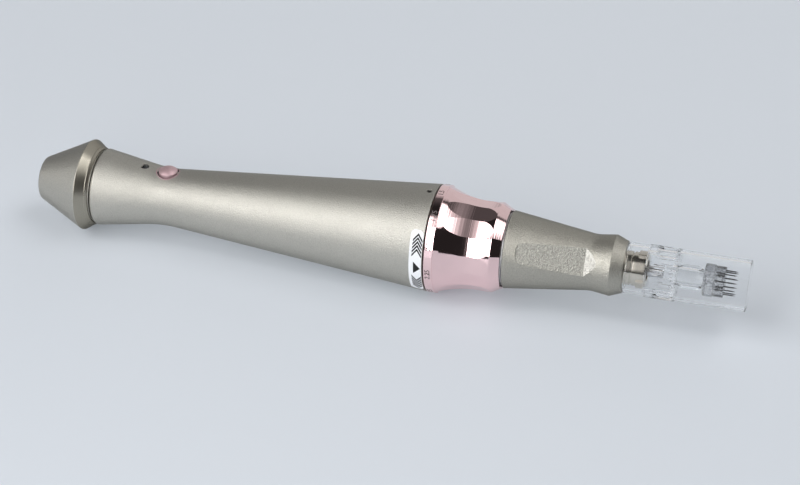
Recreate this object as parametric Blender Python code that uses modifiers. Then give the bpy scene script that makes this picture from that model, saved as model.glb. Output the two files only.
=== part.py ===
"""Cordless microneedling pen, lying on its side: cone-tailed body, dial, keyed nozzle and needle cartridge.

Lengths are in metres. Stations run along the pen from the flat end of its tail, 0, to the mouth of the
cartridge. The pen's axis is level and points along +X, its button faces up, and its lowest point is at Z = 0.
"""
import math

import bmesh
import bpy
from mathutils import Matrix, Vector

MM = 0.001

# Fits shared by all pieces
CLEARANCE = 0.3 * MM
RUNNING_GAP = 0.1 * MM
OVERRUN = 2.0 * MM
WELD = 0.001 * MM
SMOOTH_ANGLE = math.radians(32)
SMALL_ROUND_STEPS = 2
LARGE_ROUND_STEPS = 5
LARGE_ROUND = 2.5 * MM
LONGEST_FILLET_SHARE = 0.48

# Counts of facets round the turned pieces
OUTER_SEGMENTS = 40
MIDDLE_SEGMENTS = 24
SMALL_SEGMENTS = 20
TINY_SEGMENTS = 12
BALL_RINGS = 8
CORD_SIDES = 6

# Rear cone cap
CAP_END_RADIUS = 5.3 * MM
CAP_END_ROUND = 0.9 * MM
CAP_CONE_LENGTH = 12.0 * MM
CAP_RIM_RADIUS = 11.45 * MM
CAP_RIM_ROUND = 0.8 * MM
CAP_FACE_LENGTH = 1.9 * MM
CAP_STEP_RADIUS = 9.9 * MM
CAP_STEP_LENGTH = 0.7 * MM
CAP_NECK_DEPTH = 0.8 * MM
CAP_NECK_LENGTH = 0.7 * MM
CAP_SPIGOT_LENGTH = 6.0 * MM
CAP_WALL = 1.3 * MM

# Main housing
HOUSING_LENGTH = 86.2 * MM
HOUSING_REAR_RADIUS = 9.75 * MM
HOUSING_REAR_ROUND = 0.7 * MM
HOUSING_WAIST_RADIUS = 7.02 * MM
HOUSING_WAIST_DISTANCE = 16.9 * MM
HOUSING_WAIST_ROUND = 30.0 * MM
HOUSING_FRONT_RADIUS = 13.15 * MM
HOUSING_EDGE_ROUND = 0.25 * MM
HOUSING_WALL = 1.1 * MM
HOUSING_FRONT_WALL = 1.55 * MM
HOUSING_BORE_RADIUS = HOUSING_FRONT_RADIUS - HOUSING_FRONT_WALL
HOUSING_BORE_LENGTH = 9.0 * MM

# Radii of the drive, the dial's bearing and the nozzle's rear, as shares of the housing's front radius
MOTOR_SHARE = 0.5703
MOTOR_BOSS_SHARE = 0.1825
MOTOR_SCREW_CIRCLE_SHARE = 0.3574
MOTOR_SCREW_HEAD_SHARE = 0.0913
MOTOR_SCREW_SHARE = 0.0494
CAM_SHARE = 0.4183
FOLLOWER_SHARE = 0.327
BALL_SHARE = 0.0837
JOURNAL_SHARE = 0.6844
GUIDE_SHARE = 0.5627
GUIDE_WALL_SHARE = 0.0989
NOZZLE_REAR_SHARE = 0.7224
NOZZLE_SOCKET_WALL_SHARE = 0.0684

# Seals: the cord of both rubber rings, its room in the grooves, the dial seal's distance from the journal end
SEAL_CORD_RADIUS = 0.45 * MM
SEAL_SLACK = 0.1 * MM
SEAL_INSET = 1.8 * MM

# Power button, its bezel and its switch
BUTTON_DISTANCE = 17.8 * MM
BUTTON_RADIUS = 2.5 * MM
BUTTON_CROWN = 0.6 * MM
CROWN_MIDDLE_SHARE = 0.5
BUTTON_PROUD = 0.5 * MM
BUTTON_TRAVEL = 0.5 * MM
BUTTON_FLANGE_OVERLAP = 0.45 * MM
BUTTON_FLANGE_THICKNESS = 0.6 * MM
BEZEL_WALL = 0.3 * MM
SWITCH_WIDTH = 4.5 * MM
SWITCH_NUB_RADIUS = 1.0 * MM
SWITCH_NUB_HEIGHT = 0.25 * MM

# Status light
LED_DISTANCE = 11.7 * MM
LED_RADIUS = 0.8 * MM
LED_SUNK = 0.2 * MM

# Circuit board and the chassis that carries it and the cell
BOARD_HEIGHT = 1.2 * MM
BOARD_THICKNESS = 0.9 * MM
BOARD_WIDTH = 10.4 * MM
BOARD_LENGTH = 17.2 * MM
CHASSIS_WALL = 0.5 * MM
CHASSIS_FLANGE_THICKNESS = 1.2 * MM
CHASSIS_NOTCH_WIDTH = 8.4 * MM
LEAD_RADIUS = 0.4 * MM
LEAD_SPACING = 6.4 * MM
LEAD_OVERLAP = 1.4 * MM
LEAD_BEND_LENGTH = 3.0 * MM
LEAD_BEND_STEPS = 4
CELL_NECK_RADIUS = 2.5 * MM
CELL_NECK_LENGTH = 0.8 * MM
CELL_ROUND = 0.5 * MM

# Motor, its shaft and the inclined cam
MOTOR_RADIUS = HOUSING_FRONT_RADIUS * MOTOR_SHARE
MOTOR_LENGTH = 18.0 * MM
MOTOR_REACH = 2.2 * MM
MOTOR_ROUND = 0.5 * MM
MOTOR_BOSS_RADIUS = HOUSING_FRONT_RADIUS * MOTOR_BOSS_SHARE
MOTOR_BOSS_LENGTH = 1.1 * MM
MOTOR_END_LENGTH = 1.6 * MM
DAMPER_LENGTH = 4.0 * MM
SHAFT_RADIUS = 0.75 * MM
SHAFT_DEPTH = 4.0 * MM
CAM_RADIUS = HOUSING_FRONT_RADIUS * CAM_SHARE
CAM_GAP = 0.6 * MM
CAM_WEB = 1.4 * MM

# Plunger, its follower ball and return spring
STROKE = 4.7 * MM
FOLLOWER_RADIUS = HOUSING_FRONT_RADIUS * FOLLOWER_SHARE
BALL_RADIUS = HOUSING_FRONT_RADIUS * BALL_SHARE
HEAD_THICKNESS = 2.2 * MM
PLUNGER_RADIUS = 1.3 * MM
SPRING_ROOM = 3.6 * MM
SPRING_RADIUS = 3.2 * MM
SPRING_WIRE_RADIUS = 0.25 * MM
SPRING_TURNS = 4
SPRING_POINTS_PER_TURN = 9
BUSH_WALL = 1.4 * MM
BUSH_FLANGE_RADIUS = 4.4 * MM
BUSH_FLANGE_THICKNESS = 0.8 * MM

# Front frame: the fixed core that carries motor, dial and nozzle
JOURNAL_RADIUS = HOUSING_FRONT_RADIUS * JOURNAL_SHARE
JOURNAL_LENGTH = 6.6 * MM
GUIDE_RADIUS = HOUSING_FRONT_RADIUS * GUIDE_SHARE
GUIDE_WALL = HOUSING_FRONT_RADIUS * GUIDE_WALL_SHARE
FACE_PLATE = 1.2 * MM
FRAME_WEB = 1.5 * MM
FRAME_NOSE_RADIUS = 5.2 * MM
FRAME_NOSE_LENGTH = 6.0 * MM
KEY_WIDTH = 2.0 * MM
KEY_DEPTH = 0.7 * MM
FRAME_SCREW_DISTANCE = 1.65 * MM
FRAME_SCREW_RADIUS = 0.5 * MM
FRAME_SCREW_LENGTH = 2.2 * MM
FRAME_SCREW_SUNK = 0.35 * MM
HEX_RADIUS = 0.28 * MM
HEX_DEPTH = 0.7 * MM
HEX_SIDES = 6
MOTOR_SCREW_CIRCLE = HOUSING_FRONT_RADIUS * MOTOR_SCREW_CIRCLE_SHARE
MOTOR_SCREW_RADIUS = HOUSING_FRONT_RADIUS * MOTOR_SCREW_SHARE
MOTOR_SCREW_HEAD_RADIUS = HOUSING_FRONT_RADIUS * MOTOR_SCREW_HEAD_SHARE
MOTOR_SCREW_HEAD = 0.5 * MM
MOTOR_SCREW_LENGTH = 3.0 * MM

# Depth dial
RING_JOINT_GAP = 0.35 * MM
RING_PROUD = 0.1 * MM
RING_RADIUS = HOUSING_FRONT_RADIUS + RING_PROUD
RING_SEGMENTS = 60
RING_LENGTH = 17.6 * MM
RING_BAND_LENGTH = 2.1 * MM
RING_BAND_STEP = 0.27 * MM
RING_EDGE_ROUND = 0.15 * MM
RING_FLANK_LENGTH = 9.65 * MM
RING_FLANK_STEPS = 6
RING_LAND_SHARE = 0.8279
RING_LAND_RADIUS = RING_RADIUS * RING_LAND_SHARE
RING_COLLAR_LENGTH = 2.25 * MM
RING_FRONT_SHARE = 0.7358
RING_FRONT_RADIUS = RING_RADIUS * RING_FRONT_SHARE

# The dial's scallops: flat across, hollow lengthwise, with two arcs that meet at their deepest place
SCALLOP_COUNT = 15
SCALLOP_PHASE = math.radians(2.4)
SCALLOP_DEPTH = 0.27 * MM
SCALLOP_DISTANCE = 11.55 * MM
SCALLOP_RADIUS = 20.0 * MM
SCALLOP_REACH = 9.3 * MM
SCALLOP_STEPS = 7
SCALLOP_FRONT_RADIUS = 26.0 * MM
SCALLOP_FRONT_REACH = 5.6 * MM
SCALLOP_FRONT_STEPS = 6

# Nozzle grip and the keyed carrier inside it
NOZZLE_JOINT_GAP = 0.6 * MM
NOZZLE_LENGTH = 28.2 * MM
NOZZLE_REAR_RADIUS = HOUSING_FRONT_RADIUS * NOZZLE_REAR_SHARE
NOZZLE_EDGE_ROUND = 0.35 * MM
NOZZLE_WAIST_RADIUS = 6.78 * MM
NOZZLE_WAIST_DISTANCE = 20.6 * MM
NOZZLE_WAIST_ROUND = 8.0 * MM
NOZZLE_LIP_RADIUS = 7.4 * MM
NOZZLE_LIP_DISTANCE = 25.3 * MM
NOZZLE_LIP_ROUND = 0.25 * MM
NOZZLE_FACE_RADIUS = 6.25 * MM
NOZZLE_THROAT_RADIUS = 5.2 * MM
NOZZLE_SOCKET_WALL = HOUSING_FRONT_RADIUS * NOZZLE_SOCKET_WALL_SHARE
NOZZLE_SOCKET_DEPTH = 3.0 * MM
NOZZLE_BACK_TRAVEL = 0.25 * MM
CARRIER_GAP = 1.0 * MM
POCKET_COUNT = 3
POCKET_START = 1.6 * MM
POCKET_LENGTH = 16.4 * MM
POCKET_START_DEPTH = 0.18 * MM
POCKET_END_DEPTH = 0.87 * MM
POCKET_SCOOP_LENGTH = 2.6 * MM
SCOOP_RISE_SHARE = 0.35
POCKET_WIDTH = 8.4 * MM
POCKET_ROUND = 4.0 * MM

# Bayonet nose
NOSE_RADIUS = 4.1 * MM
NOSE_REACH = 9.3 * MM
NOSE_FLANGE_RADIUS = 4.9 * MM
NOSE_FLANGE_LENGTH = 1.5 * MM
NOSE_SEAT_LENGTH = 6.0 * MM
NOSE_BORE_RADIUS = 2.6 * MM
NOSE_GROOVE_DISTANCE = 1.6 * MM
NOSE_GROOVE_LENGTH = 0.35 * MM
NOSE_GROOVE_DEPTH = 0.3 * MM
NOSE_EDGE_ROUND = 0.25 * MM
LUG_RADIUS = 4.55 * MM
LUG_DISTANCE = 3.1 * MM
LUG_LENGTH = 2.0 * MM
LUG_WIDTH = 6.6 * MM
LUG_ANGLE = math.radians(-34)
LUG_SLOT_ANGLE = math.radians(56)

# Needle cartridge
SHELL_LENGTH = 29.1 * MM
SHELL_RADIUS = 6.15 * MM
SHELL_WALL = 0.75 * MM
SKIRT_LENGTH = 4.9 * MM
SKIRT_WALL = 0.85 * MM
BAND_RADIUS = 6.35 * MM
BAND_LENGTH = 2.0 * MM
COLLAR_LENGTH = 5.4 * MM
COLLAR_BORE_RADIUS = 4.9 * MM
BULKHEAD = 0.9 * MM
RIB_COUNT = 24
RIB_GROOVE_DEPTH = 0.5 * MM
RIB_GROOVE_WIDTH = 0.8 * MM
RIB_MARGIN = 0.4 * MM
NECK_LENGTH = 5.9 * MM
NECK_WALL = 0.45 * MM
NECK_BULGE_RADIUS = 2.9 * MM
NECK_BULGE_ROUND = 2.0 * MM
STEM_RADIUS = 1.5 * MM
STEM_TAIL = 2.9 * MM
CONTACT_GAP = 0.5 * MM
CARRIER_DISC_RADIUS = 3.9 * MM
CARRIER_DISC_LENGTH = 2.4 * MM
CARRIER_DISC_ROUND = 0.25 * MM
NEEDLE_BLOCK_RADIUS = 3.7 * MM
NEEDLE_BLOCK_LENGTH = 2.4 * MM
NEEDLE_RADIUS = 0.17 * MM
NEEDLE_LENGTH = 2.95 * MM
NEEDLE_TIP_LENGTH = 0.9 * MM
NEEDLE_OUTER_CIRCLE = 2.85 * MM
NEEDLE_OUTER_COUNT = 9
NEEDLE_INNER_CIRCLE = 1.15 * MM
NEEDLE_INNER_COUNT = 3
NEEDLE_SIDES = 6

# Stations of the joints between the visible pieces
CAP_RIM = CAP_CONE_LENGTH
CAP_FACE = CAP_RIM + CAP_FACE_LENGTH
CAP_STEP = CAP_FACE + CAP_STEP_LENGTH
HOUSING_REAR = CAP_STEP + CAP_NECK_LENGTH
HOUSING_WAIST = HOUSING_REAR + HOUSING_WAIST_DISTANCE
HOUSING_FRONT = HOUSING_REAR + HOUSING_LENGTH
RING_REAR = HOUSING_FRONT + RING_JOINT_GAP
RING_FRONT = RING_REAR + RING_LENGTH
NOZZLE_REAR = RING_FRONT + NOZZLE_JOINT_GAP
NOZZLE_FRONT = NOZZLE_REAR + NOZZLE_LENGTH
SHELL_REAR = NOZZLE_FRONT + CLEARANCE
SHELL_FRONT = SHELL_REAR + SHELL_LENGTH
PEN_LENGTH = SHELL_FRONT
AXIS_HEIGHT = RING_RADIUS

# Stations and radii inside the housing
CHASSIS_REAR = HOUSING_REAR + CAP_SPIGOT_LENGTH + CLEARANCE
MOTOR_FRONT = RING_REAR + MOTOR_REACH
MOTOR_REAR = MOTOR_FRONT - MOTOR_LENGTH
CHASSIS_FRONT = MOTOR_REAR - CLEARANCE
BOARD_FRONT = CHASSIS_REAR + BOARD_LENGTH
CELL_REAR = BOARD_FRONT + CLEARANCE
CELL_FRONT = CHASSIS_FRONT - CHASSIS_FLANGE_THICKNESS - CLEARANCE
CHASSIS_RADIUS = HOUSING_WAIST_RADIUS - HOUSING_WALL - CLEARANCE
CHASSIS_BORE = CHASSIS_RADIUS - CHASSIS_WALL
CELL_RADIUS = CHASSIS_BORE - RUNNING_GAP
BOARD_TOP = BOARD_HEIGHT + BOARD_THICKNESS

# Stations inside the front frame, from the motor forwards
FRAME_REAR = HOUSING_FRONT - HOUSING_BORE_LENGTH + CLEARANCE
JOURNAL_FRONT = RING_REAR + JOURNAL_LENGTH
PLATE_REAR = MOTOR_FRONT + CLEARANCE
PLATE_FRONT = PLATE_REAR + FACE_PLATE
CAM_REAR = PLATE_FRONT + CAM_GAP
CAM_LOW = CAM_REAR + CAM_WEB
CAM_SLOPE = STROKE / (FOLLOWER_RADIUS + FOLLOWER_RADIUS)
CAM_HIGH = CAM_LOW + CAM_SLOPE * (CAM_RADIUS + CAM_RADIUS)
HEAD_REAR = CAM_HIGH + CLEARANCE
HEAD_FRONT = HEAD_REAR + HEAD_THICKNESS
BALL_CENTRE = CAM_LOW + CAM_SLOPE * (CAM_RADIUS + FOLLOWER_RADIUS) + CLEARANCE + BALL_RADIUS
CHAMBER_FRONT = HEAD_FRONT + STROKE + SPRING_ROOM
CHAMBER_RADIUS = GUIDE_RADIUS - GUIDE_WALL
WEB_FRONT = CHAMBER_FRONT + FRAME_WEB
FRAME_FRONT = WEB_FRONT + FRAME_NOSE_LENGTH
BUSH_BORE = PLUNGER_RADIUS + RUNNING_GAP
BUSH_RADIUS = BUSH_BORE + BUSH_WALL
CARRIER_BORE = GUIDE_RADIUS + CLEARANCE
CARRIER_REAR = JOURNAL_FRONT + CARRIER_GAP

# Stations inside the nozzle and the cartridge
NOZZLE_BORE_FRONT = WEB_FRONT + CLEARANCE + NOZZLE_BACK_TRAVEL
NOSE_REAR = NOZZLE_FRONT - NOSE_SEAT_LENGTH - NOSE_FLANGE_LENGTH
NOSE_FRONT = NOZZLE_FRONT + NOSE_REACH
BAND_REAR = SHELL_REAR + SKIRT_LENGTH
BAND_FRONT = BAND_REAR + BAND_LENGTH
TUBE_REAR = BAND_FRONT + COLLAR_LENGTH
NECK_FRONT = TUBE_REAR + NECK_LENGTH
NECK_BORE = STEM_RADIUS + RUNNING_GAP
DISC_REAR = NECK_FRONT + CLEARANCE
DISC_FRONT = DISC_REAR + CARRIER_DISC_LENGTH
BLOCK_REAR = DISC_FRONT + RUNNING_GAP
BLOCK_FRONT = BLOCK_REAR + NEEDLE_BLOCK_LENGTH
STEM_REAR = TUBE_REAR - STEM_TAIL
PLUNGER_FRONT = STEM_REAR - CONTACT_GAP

BUTTON_STATION = HOUSING_REAR + BUTTON_DISTANCE
LED_STATION = HOUSING_REAR + LED_DISTANCE
FRAME_SCREW_STATION = HOUSING_FRONT - FRAME_SCREW_DISTANCE


def clear_scene():
    for thing in list(bpy.data.objects):
        bpy.data.objects.remove(thing)


def new_collection(name):
    made = bpy.data.collections.new(name)
    bpy.context.scene.collection.children.link(made)
    return made


def new_material(name, colour, roughness, metallic, alpha=1.0):
    made = bpy.data.materials.new(name)
    made.use_nodes = True
    shader = made.node_tree.nodes["Principled BSDF"]
    shader.inputs["Base Color"].default_value = (*colour, 1.0)
    shader.inputs["Roughness"].default_value = roughness
    shader.inputs["Metallic"].default_value = metallic
    shader.inputs["Alpha"].default_value = alpha
    return made


def new_empty(name, parent=None, location=(0, 0, 0), turn=(0, 0, 0)):
    empty = bpy.data.objects.new(name, None)
    parts.objects.link(empty)
    empty.parent = parent
    empty.location = location
    empty.rotation_euler = turn
    return empty


def new_object(name, mesh, home, parent, location, turn=(0, 0, 0)):
    made = bpy.data.objects.new(name, mesh)
    home.objects.link(made)
    made.parent = parent
    made.location = location
    made.rotation_euler = turn
    if home is cutters:
        made.hide_render = True
        made.display_type = "WIRE"
    return made


def along(start, end, share):
    return tuple(a + (b - a) * share for a, b in zip(start, end))


def rounded(corners):
    """Turns corners (station, radius, fillet) into a profile whose fillets are arcs."""
    profile = []
    for index, (station, radius, fillet) in enumerate(corners):
        corner = Vector((station, radius))
        if not fillet:
            profile.append(corner)
            continue
        before = Vector(corners[index - 1][:2]) - corner
        after = Vector(corners[(index + 1) % len(corners)][:2]) - corner
        half_angle = before.angle(after) / 2
        longest = min(before.length, after.length) * LONGEST_FILLET_SHARE
        reach = min(fillet / math.tan(half_angle), longest)
        fillet = reach * math.tan(half_angle)
        bisector = (before.normalized() + after.normalized()).normalized()
        middle = corner + bisector * (fillet / math.sin(half_angle))
        first = corner + before.normalized() * reach - middle
        last = corner + after.normalized() * reach - middle
        sweep = first.angle_signed(last)
        steps = LARGE_ROUND_STEPS if fillet > LARGE_ROUND else SMALL_ROUND_STEPS
        for step in range(steps + 1):
            turned_ray = Matrix.Rotation(-sweep * step / steps, 2) @ first
            profile.append(middle + turned_ray)
    return profile


def turned_mesh(name, profile, closed):
    """A profile of (height, radius) points as a chain of edges, ready to be turned about Z."""
    mesh = bpy.data.meshes.new(name)
    points = [(radius, 0, height) for height, radius in profile]
    edges = [(index, index + 1) for index in range(len(points) - 1)]
    if closed:
        edges.append((len(points) - 1, 0))
    mesh.from_pydata(points, edges, [])
    return mesh


def turned(name, corners, finish, parent, station=0.0, segments=MIDDLE_SEGMENTS, closed=True, home=None):
    """A turned piece. Its corners run from the front of its outer side to the rear, then forward inside."""
    profile = [(point[0] - station, point[1]) for point in rounded(corners)]
    made = new_object(name, turned_mesh(name, profile, closed), home or parts, parent, (0, 0, station))
    screw = made.modifiers.new("turn", "SCREW")
    screw.steps = segments
    screw.render_steps = segments
    screw.use_merge_vertices = True
    screw.merge_threshold = WELD
    screw.use_smooth_shade = True
    if finish:
        made.data.materials.append(finish)
    return made


def block(name, size, centre, finish, parent, home=None, turn=(0, 0, 0)):
    mesh = bpy.data.meshes.new(name)
    shape = bmesh.new()
    bmesh.ops.create_cube(shape, size=1)
    bmesh.ops.scale(shape, vec=size, verts=shape.verts)
    shape.to_mesh(mesh)
    shape.free()
    made = new_object(name, mesh, home or parts, parent, centre, turn)
    if finish:
        made.data.materials.append(finish)
    return made


def rod(name, radius, low, high, parent, home, segments=SMALL_SEGMENTS, place=(0, 0), finish=None):
    """A round bar along its parent's Z, from low to high."""
    mesh = bpy.data.meshes.new(name)
    shape = bmesh.new()
    bmesh.ops.create_cone(
        shape, cap_ends=True, segments=segments, radius1=radius, radius2=radius, depth=high - low
    )
    shape.to_mesh(mesh)
    shape.free()
    made = new_object(name, mesh, home, parent, (*place, (low + high) / 2))
    if finish:
        made.data.materials.append(finish)
    return made


def combine(piece, other, operation):
    step = piece.modifiers.new(operation.lower(), "BOOLEAN")
    step.operation = operation
    step.object = other
    step.solver = "EXACT"


def cut(piece, *others):
    for other in others:
        combine(piece, other, "DIFFERENCE")


def settle(piece):
    """Replaces a piece's modifiers by the mesh they make, welded and shaded smooth."""
    bpy.context.view_layer.update()
    evaluated = piece.evaluated_get(bpy.context.evaluated_depsgraph_get())
    mesh = bpy.data.meshes.new_from_object(evaluated)
    shape = bmesh.new()
    shape.from_mesh(mesh)
    bmesh.ops.remove_doubles(shape, verts=shape.verts, dist=WELD)
    bmesh.ops.dissolve_degenerate(shape, edges=shape.edges, dist=WELD)
    shape.to_mesh(mesh)
    shape.free()
    mesh.shade_smooth()
    mesh.set_sharp_from_angle(angle=SMOOTH_ANGLE)
    piece.modifiers.clear()
    piece.data = mesh
    return piece


def prism(name, outline, thickness, home, parent, location, turn):
    """A flat outline in X and Y, thickened evenly to both sides of its plane."""
    curve = bpy.data.curves.new(name, "CURVE")
    curve.dimensions = "2D"
    curve.fill_mode = "BOTH"
    curve.extrude = thickness / 2
    spline = curve.splines.new("POLY")
    spline.points.add(len(outline) - 1)
    for point, (x, y) in zip(spline.points, outline):
        point.co = (x, y, 0, 1)
    spline.use_cyclic_u = True
    source = bpy.data.objects.new(name, curve)
    bpy.context.scene.collection.objects.link(source)
    bpy.context.view_layer.update()
    mesh = bpy.data.meshes.new_from_object(source.evaluated_get(bpy.context.evaluated_depsgraph_get()))
    bpy.data.objects.remove(source)
    shape = bmesh.new()
    shape.from_mesh(mesh)
    bmesh.ops.remove_doubles(shape, verts=shape.verts, dist=WELD)
    bmesh.ops.recalc_face_normals(shape, faces=shape.faces)
    shape.to_mesh(mesh)
    shape.free()
    return new_object(name, mesh, home, parent, location, turn)


def wire(name, points, radius, finish):
    curve = bpy.data.curves.new(name, "CURVE")
    curve.dimensions = "3D"
    curve.bevel_depth = radius
    curve.bevel_resolution = 1
    curve.use_fill_caps = True
    spline = curve.splines.new("POLY")
    spline.points.add(len(points) - 1)
    for point, place in zip(spline.points, points):
        point.co = (*place, 1)
    curve.materials.append(finish)
    return curve


def housing_radius(station):
    """The housing's outer radius, before its waist is rounded."""
    if station < HOUSING_WAIST:
        share = (station - HOUSING_REAR) / HOUSING_WAIST_DISTANCE
        return along((HOUSING_REAR_RADIUS,), (HOUSING_WAIST_RADIUS,), share)[0]
    share = (station - HOUSING_WAIST) / (HOUSING_FRONT - HOUSING_WAIST)
    return along((HOUSING_WAIST_RADIUS,), (HOUSING_FRONT_RADIUS,), share)[0]


def nozzle_radius(station):
    """The radius of the nozzle's long rear cone."""
    share = (station - NOZZLE_REAR) / NOZZLE_WAIST_DISTANCE
    return along((NOZZLE_REAR_RADIUS,), (NOZZLE_WAIST_RADIUS,), share)[0]


def spigot_radius():
    return housing_radius(HOUSING_REAR + CAP_SPIGOT_LENGTH) - HOUSING_WALL - CLEARANCE


def make_rear_cone_cap(pen):
    spigot = spigot_radius()
    spigot_front = HOUSING_REAR + CAP_SPIGOT_LENGTH
    bore = spigot - CAP_WALL
    seal_station = HOUSING_REAR + CAP_SPIGOT_LENGTH / 2
    groove_half = SEAL_CORD_RADIUS + SEAL_SLACK
    groove_floor = spigot + CLEARANCE - SEAL_SLACK - SEAL_CORD_RADIUS * 2 - SEAL_SLACK
    neck = HOUSING_REAR_RADIUS - CAP_NECK_DEPTH
    cap = turned("rear_cone_cap", [
        (CAP_RIM - CAP_FACE_LENGTH, 0, 0),
        (CAP_RIM, bore, 0),
        (spigot_front, bore, 0),
        (spigot_front, spigot, HOUSING_EDGE_ROUND),
        (seal_station + groove_half, spigot, 0),
        (seal_station + groove_half, groove_floor, 0),
        (seal_station - groove_half, groove_floor, 0),
        (seal_station - groove_half, spigot, 0),
        (HOUSING_REAR - CLEARANCE, spigot, 0),
        (HOUSING_REAR - CLEARANCE, neck, 0),
        (CAP_STEP, neck, 0),
        (CAP_STEP, CAP_STEP_RADIUS, 0),
        (CAP_FACE, CAP_STEP_RADIUS, 0),
        (CAP_RIM, CAP_RIM_RADIUS, CAP_RIM_ROUND),
        (0, CAP_END_RADIUS, CAP_END_ROUND),
        (0, 0, 0),
    ], champagne_aluminium, pen, segments=OUTER_SEGMENTS, closed=False)
    settle(cap)
    seal = turned("cap_seal", seal_corners(seal_station, groove_floor + SEAL_SLACK + SEAL_CORD_RADIUS),
                  black_rubber, pen, station=seal_station)
    settle(seal)


def seal_corners(station, radius):
    """A round rubber cord bent to a ring: the circle's points, clockwise from its front."""
    points = []
    for step in range(CORD_SIDES):
        angle = -math.tau * step / CORD_SIDES
        points.append((
            station + SEAL_CORD_RADIUS * math.cos(angle),
            radius - SEAL_CORD_RADIUS * math.sin(angle),
            0,
        ))
    return points


def housing_solid(name, grow, home, parent):
    """The housing's outer form without its bore, grown by a small amount."""
    return turned(name, [
        (HOUSING_FRONT, 0, 0),
        (HOUSING_FRONT, HOUSING_FRONT_RADIUS + grow, 0),
        (HOUSING_WAIST, HOUSING_WAIST_RADIUS + grow, HOUSING_WAIST_ROUND),
        (HOUSING_REAR, HOUSING_REAR_RADIUS + grow, 0),
        (HOUSING_REAR, 0, 0),
    ], None, parent, segments=OUTER_SEGMENTS, closed=False, home=home)


def make_main_housing(pen, button_axis, led_axis, screw_axis):
    spigot_bore = spigot_radius() + CLEARANCE
    bore_rear = HOUSING_FRONT - HOUSING_BORE_LENGTH
    housing = turned("main_housing", [
        (HOUSING_FRONT, HOUSING_FRONT_RADIUS, HOUSING_EDGE_ROUND),
        (HOUSING_WAIST, HOUSING_WAIST_RADIUS, HOUSING_WAIST_ROUND),
        (HOUSING_REAR, HOUSING_REAR_RADIUS, HOUSING_REAR_ROUND),
        (HOUSING_REAR, spigot_bore, 0),
        (HOUSING_REAR + CAP_SPIGOT_LENGTH, spigot_bore, 0),
        (HOUSING_WAIST, HOUSING_WAIST_RADIUS - HOUSING_WALL, 0),
        (bore_rear, housing_radius(bore_rear) - HOUSING_WALL, 0),
        (bore_rear, HOUSING_BORE_RADIUS, 0),
        (HOUSING_FRONT, HOUSING_BORE_RADIUS, 0),
    ], champagne_aluminium, pen, segments=OUTER_SEGMENTS)
    top = HOUSING_FRONT_RADIUS + OVERRUN
    bezel_hole = BUTTON_RADIUS + CLEARANCE + BEZEL_WALL + RUNNING_GAP
    holes = [
        rod("button_hole", bezel_hole, 0, top, button_axis, cutters),
        rod("led_hole", LED_RADIUS + CLEARANCE, 0, top, led_axis, cutters, TINY_SEGMENTS),
        rod("frame_screw_hole", FRAME_SCREW_RADIUS + RUNNING_GAP, 0, top, screw_axis, cutters, TINY_SEGMENTS),
    ]
    cut(housing, *holes)
    settle(housing)


def make_button(button_axis, pen):
    surface = HOUSING_WAIST_RADIUS
    inner_wall = math.sqrt((surface - HOUSING_WALL) ** 2 - BUTTON_RADIUS ** 2)
    flange_top = inner_wall - CLEARANCE - BUTTON_TRAVEL
    flange_radius = BUTTON_RADIUS + BUTTON_FLANGE_OVERLAP
    flange_low = flange_top - BUTTON_FLANGE_THICKNESS
    shoulder = surface + BUTTON_PROUD
    button = turned("power_button", [
        (shoulder + BUTTON_CROWN, 0, 0),
        (shoulder + BUTTON_CROWN * (1 - CROWN_MIDDLE_SHARE ** 2), BUTTON_RADIUS * CROWN_MIDDLE_SHARE, 0),
        (shoulder, BUTTON_RADIUS, 0),
        (flange_top, BUTTON_RADIUS, 0),
        (flange_top, flange_radius, 0),
        (flange_low, flange_radius, 0),
        (flange_low, 0, 0),
    ], rose_metal, button_axis, station=flange_low, segments=SMALL_SEGMENTS, closed=False)
    settle(button)
    bezel_bore = BUTTON_RADIUS + CLEARANCE
    bezel = turned("button_bezel", [
        (surface + OVERRUN, bezel_bore + BEZEL_WALL, 0),
        (flange_top + CLEARANCE, bezel_bore + BEZEL_WALL, 0),
        (flange_top + CLEARANCE, bezel_bore, 0),
        (surface + OVERRUN, bezel_bore, 0),
    ], rose_metal, button_axis, station=flange_top, segments=SMALL_SEGMENTS)
    combine(bezel, housing_solid("bezel_trim", RUNNING_GAP / 2, cutters, pen), "INTERSECT")
    settle(bezel)
    return flange_low


def make_electronics(chassis_axis, button_axis, led_axis, button_low):
    board_centre = (CHASSIS_REAR + BOARD_FRONT) / 2
    board = block("circuit_board", (BOARD_LENGTH, BOARD_WIDTH, BOARD_THICKNESS),
                  (board_centre, 0, BOARD_HEIGHT + BOARD_THICKNESS / 2), board_green, chassis_axis)
    settle(board)

    nub_top = button_low - BUTTON_TRAVEL - RUNNING_GAP
    body_top = nub_top - SWITCH_NUB_HEIGHT
    body_low = BOARD_TOP + RUNNING_GAP
    switch = block("power_switch", (SWITCH_WIDTH, SWITCH_WIDTH, body_top - body_low),
                   (0, 0, (body_low + body_top) / 2), black_plastic, button_axis)
    nub = rod("switch_nub", SWITCH_NUB_RADIUS, (body_low + body_top) / 2, nub_top, button_axis, cutters,
              TINY_SEGMENTS)
    combine(switch, nub, "UNION")
    settle(switch)

    led_top = housing_radius(LED_STATION) - LED_SUNK
    led_low = BOARD_TOP + RUNNING_GAP
    led = turned("status_led", [
        (led_top + LED_SUNK / 2, 0, 0),
        (led_top, LED_RADIUS, 0),
        (led_low, LED_RADIUS, 0),
        (led_low, 0, 0),
    ], smoked_lens, led_axis, station=led_low, segments=TINY_SEGMENTS, closed=False)
    settle(led)


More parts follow.
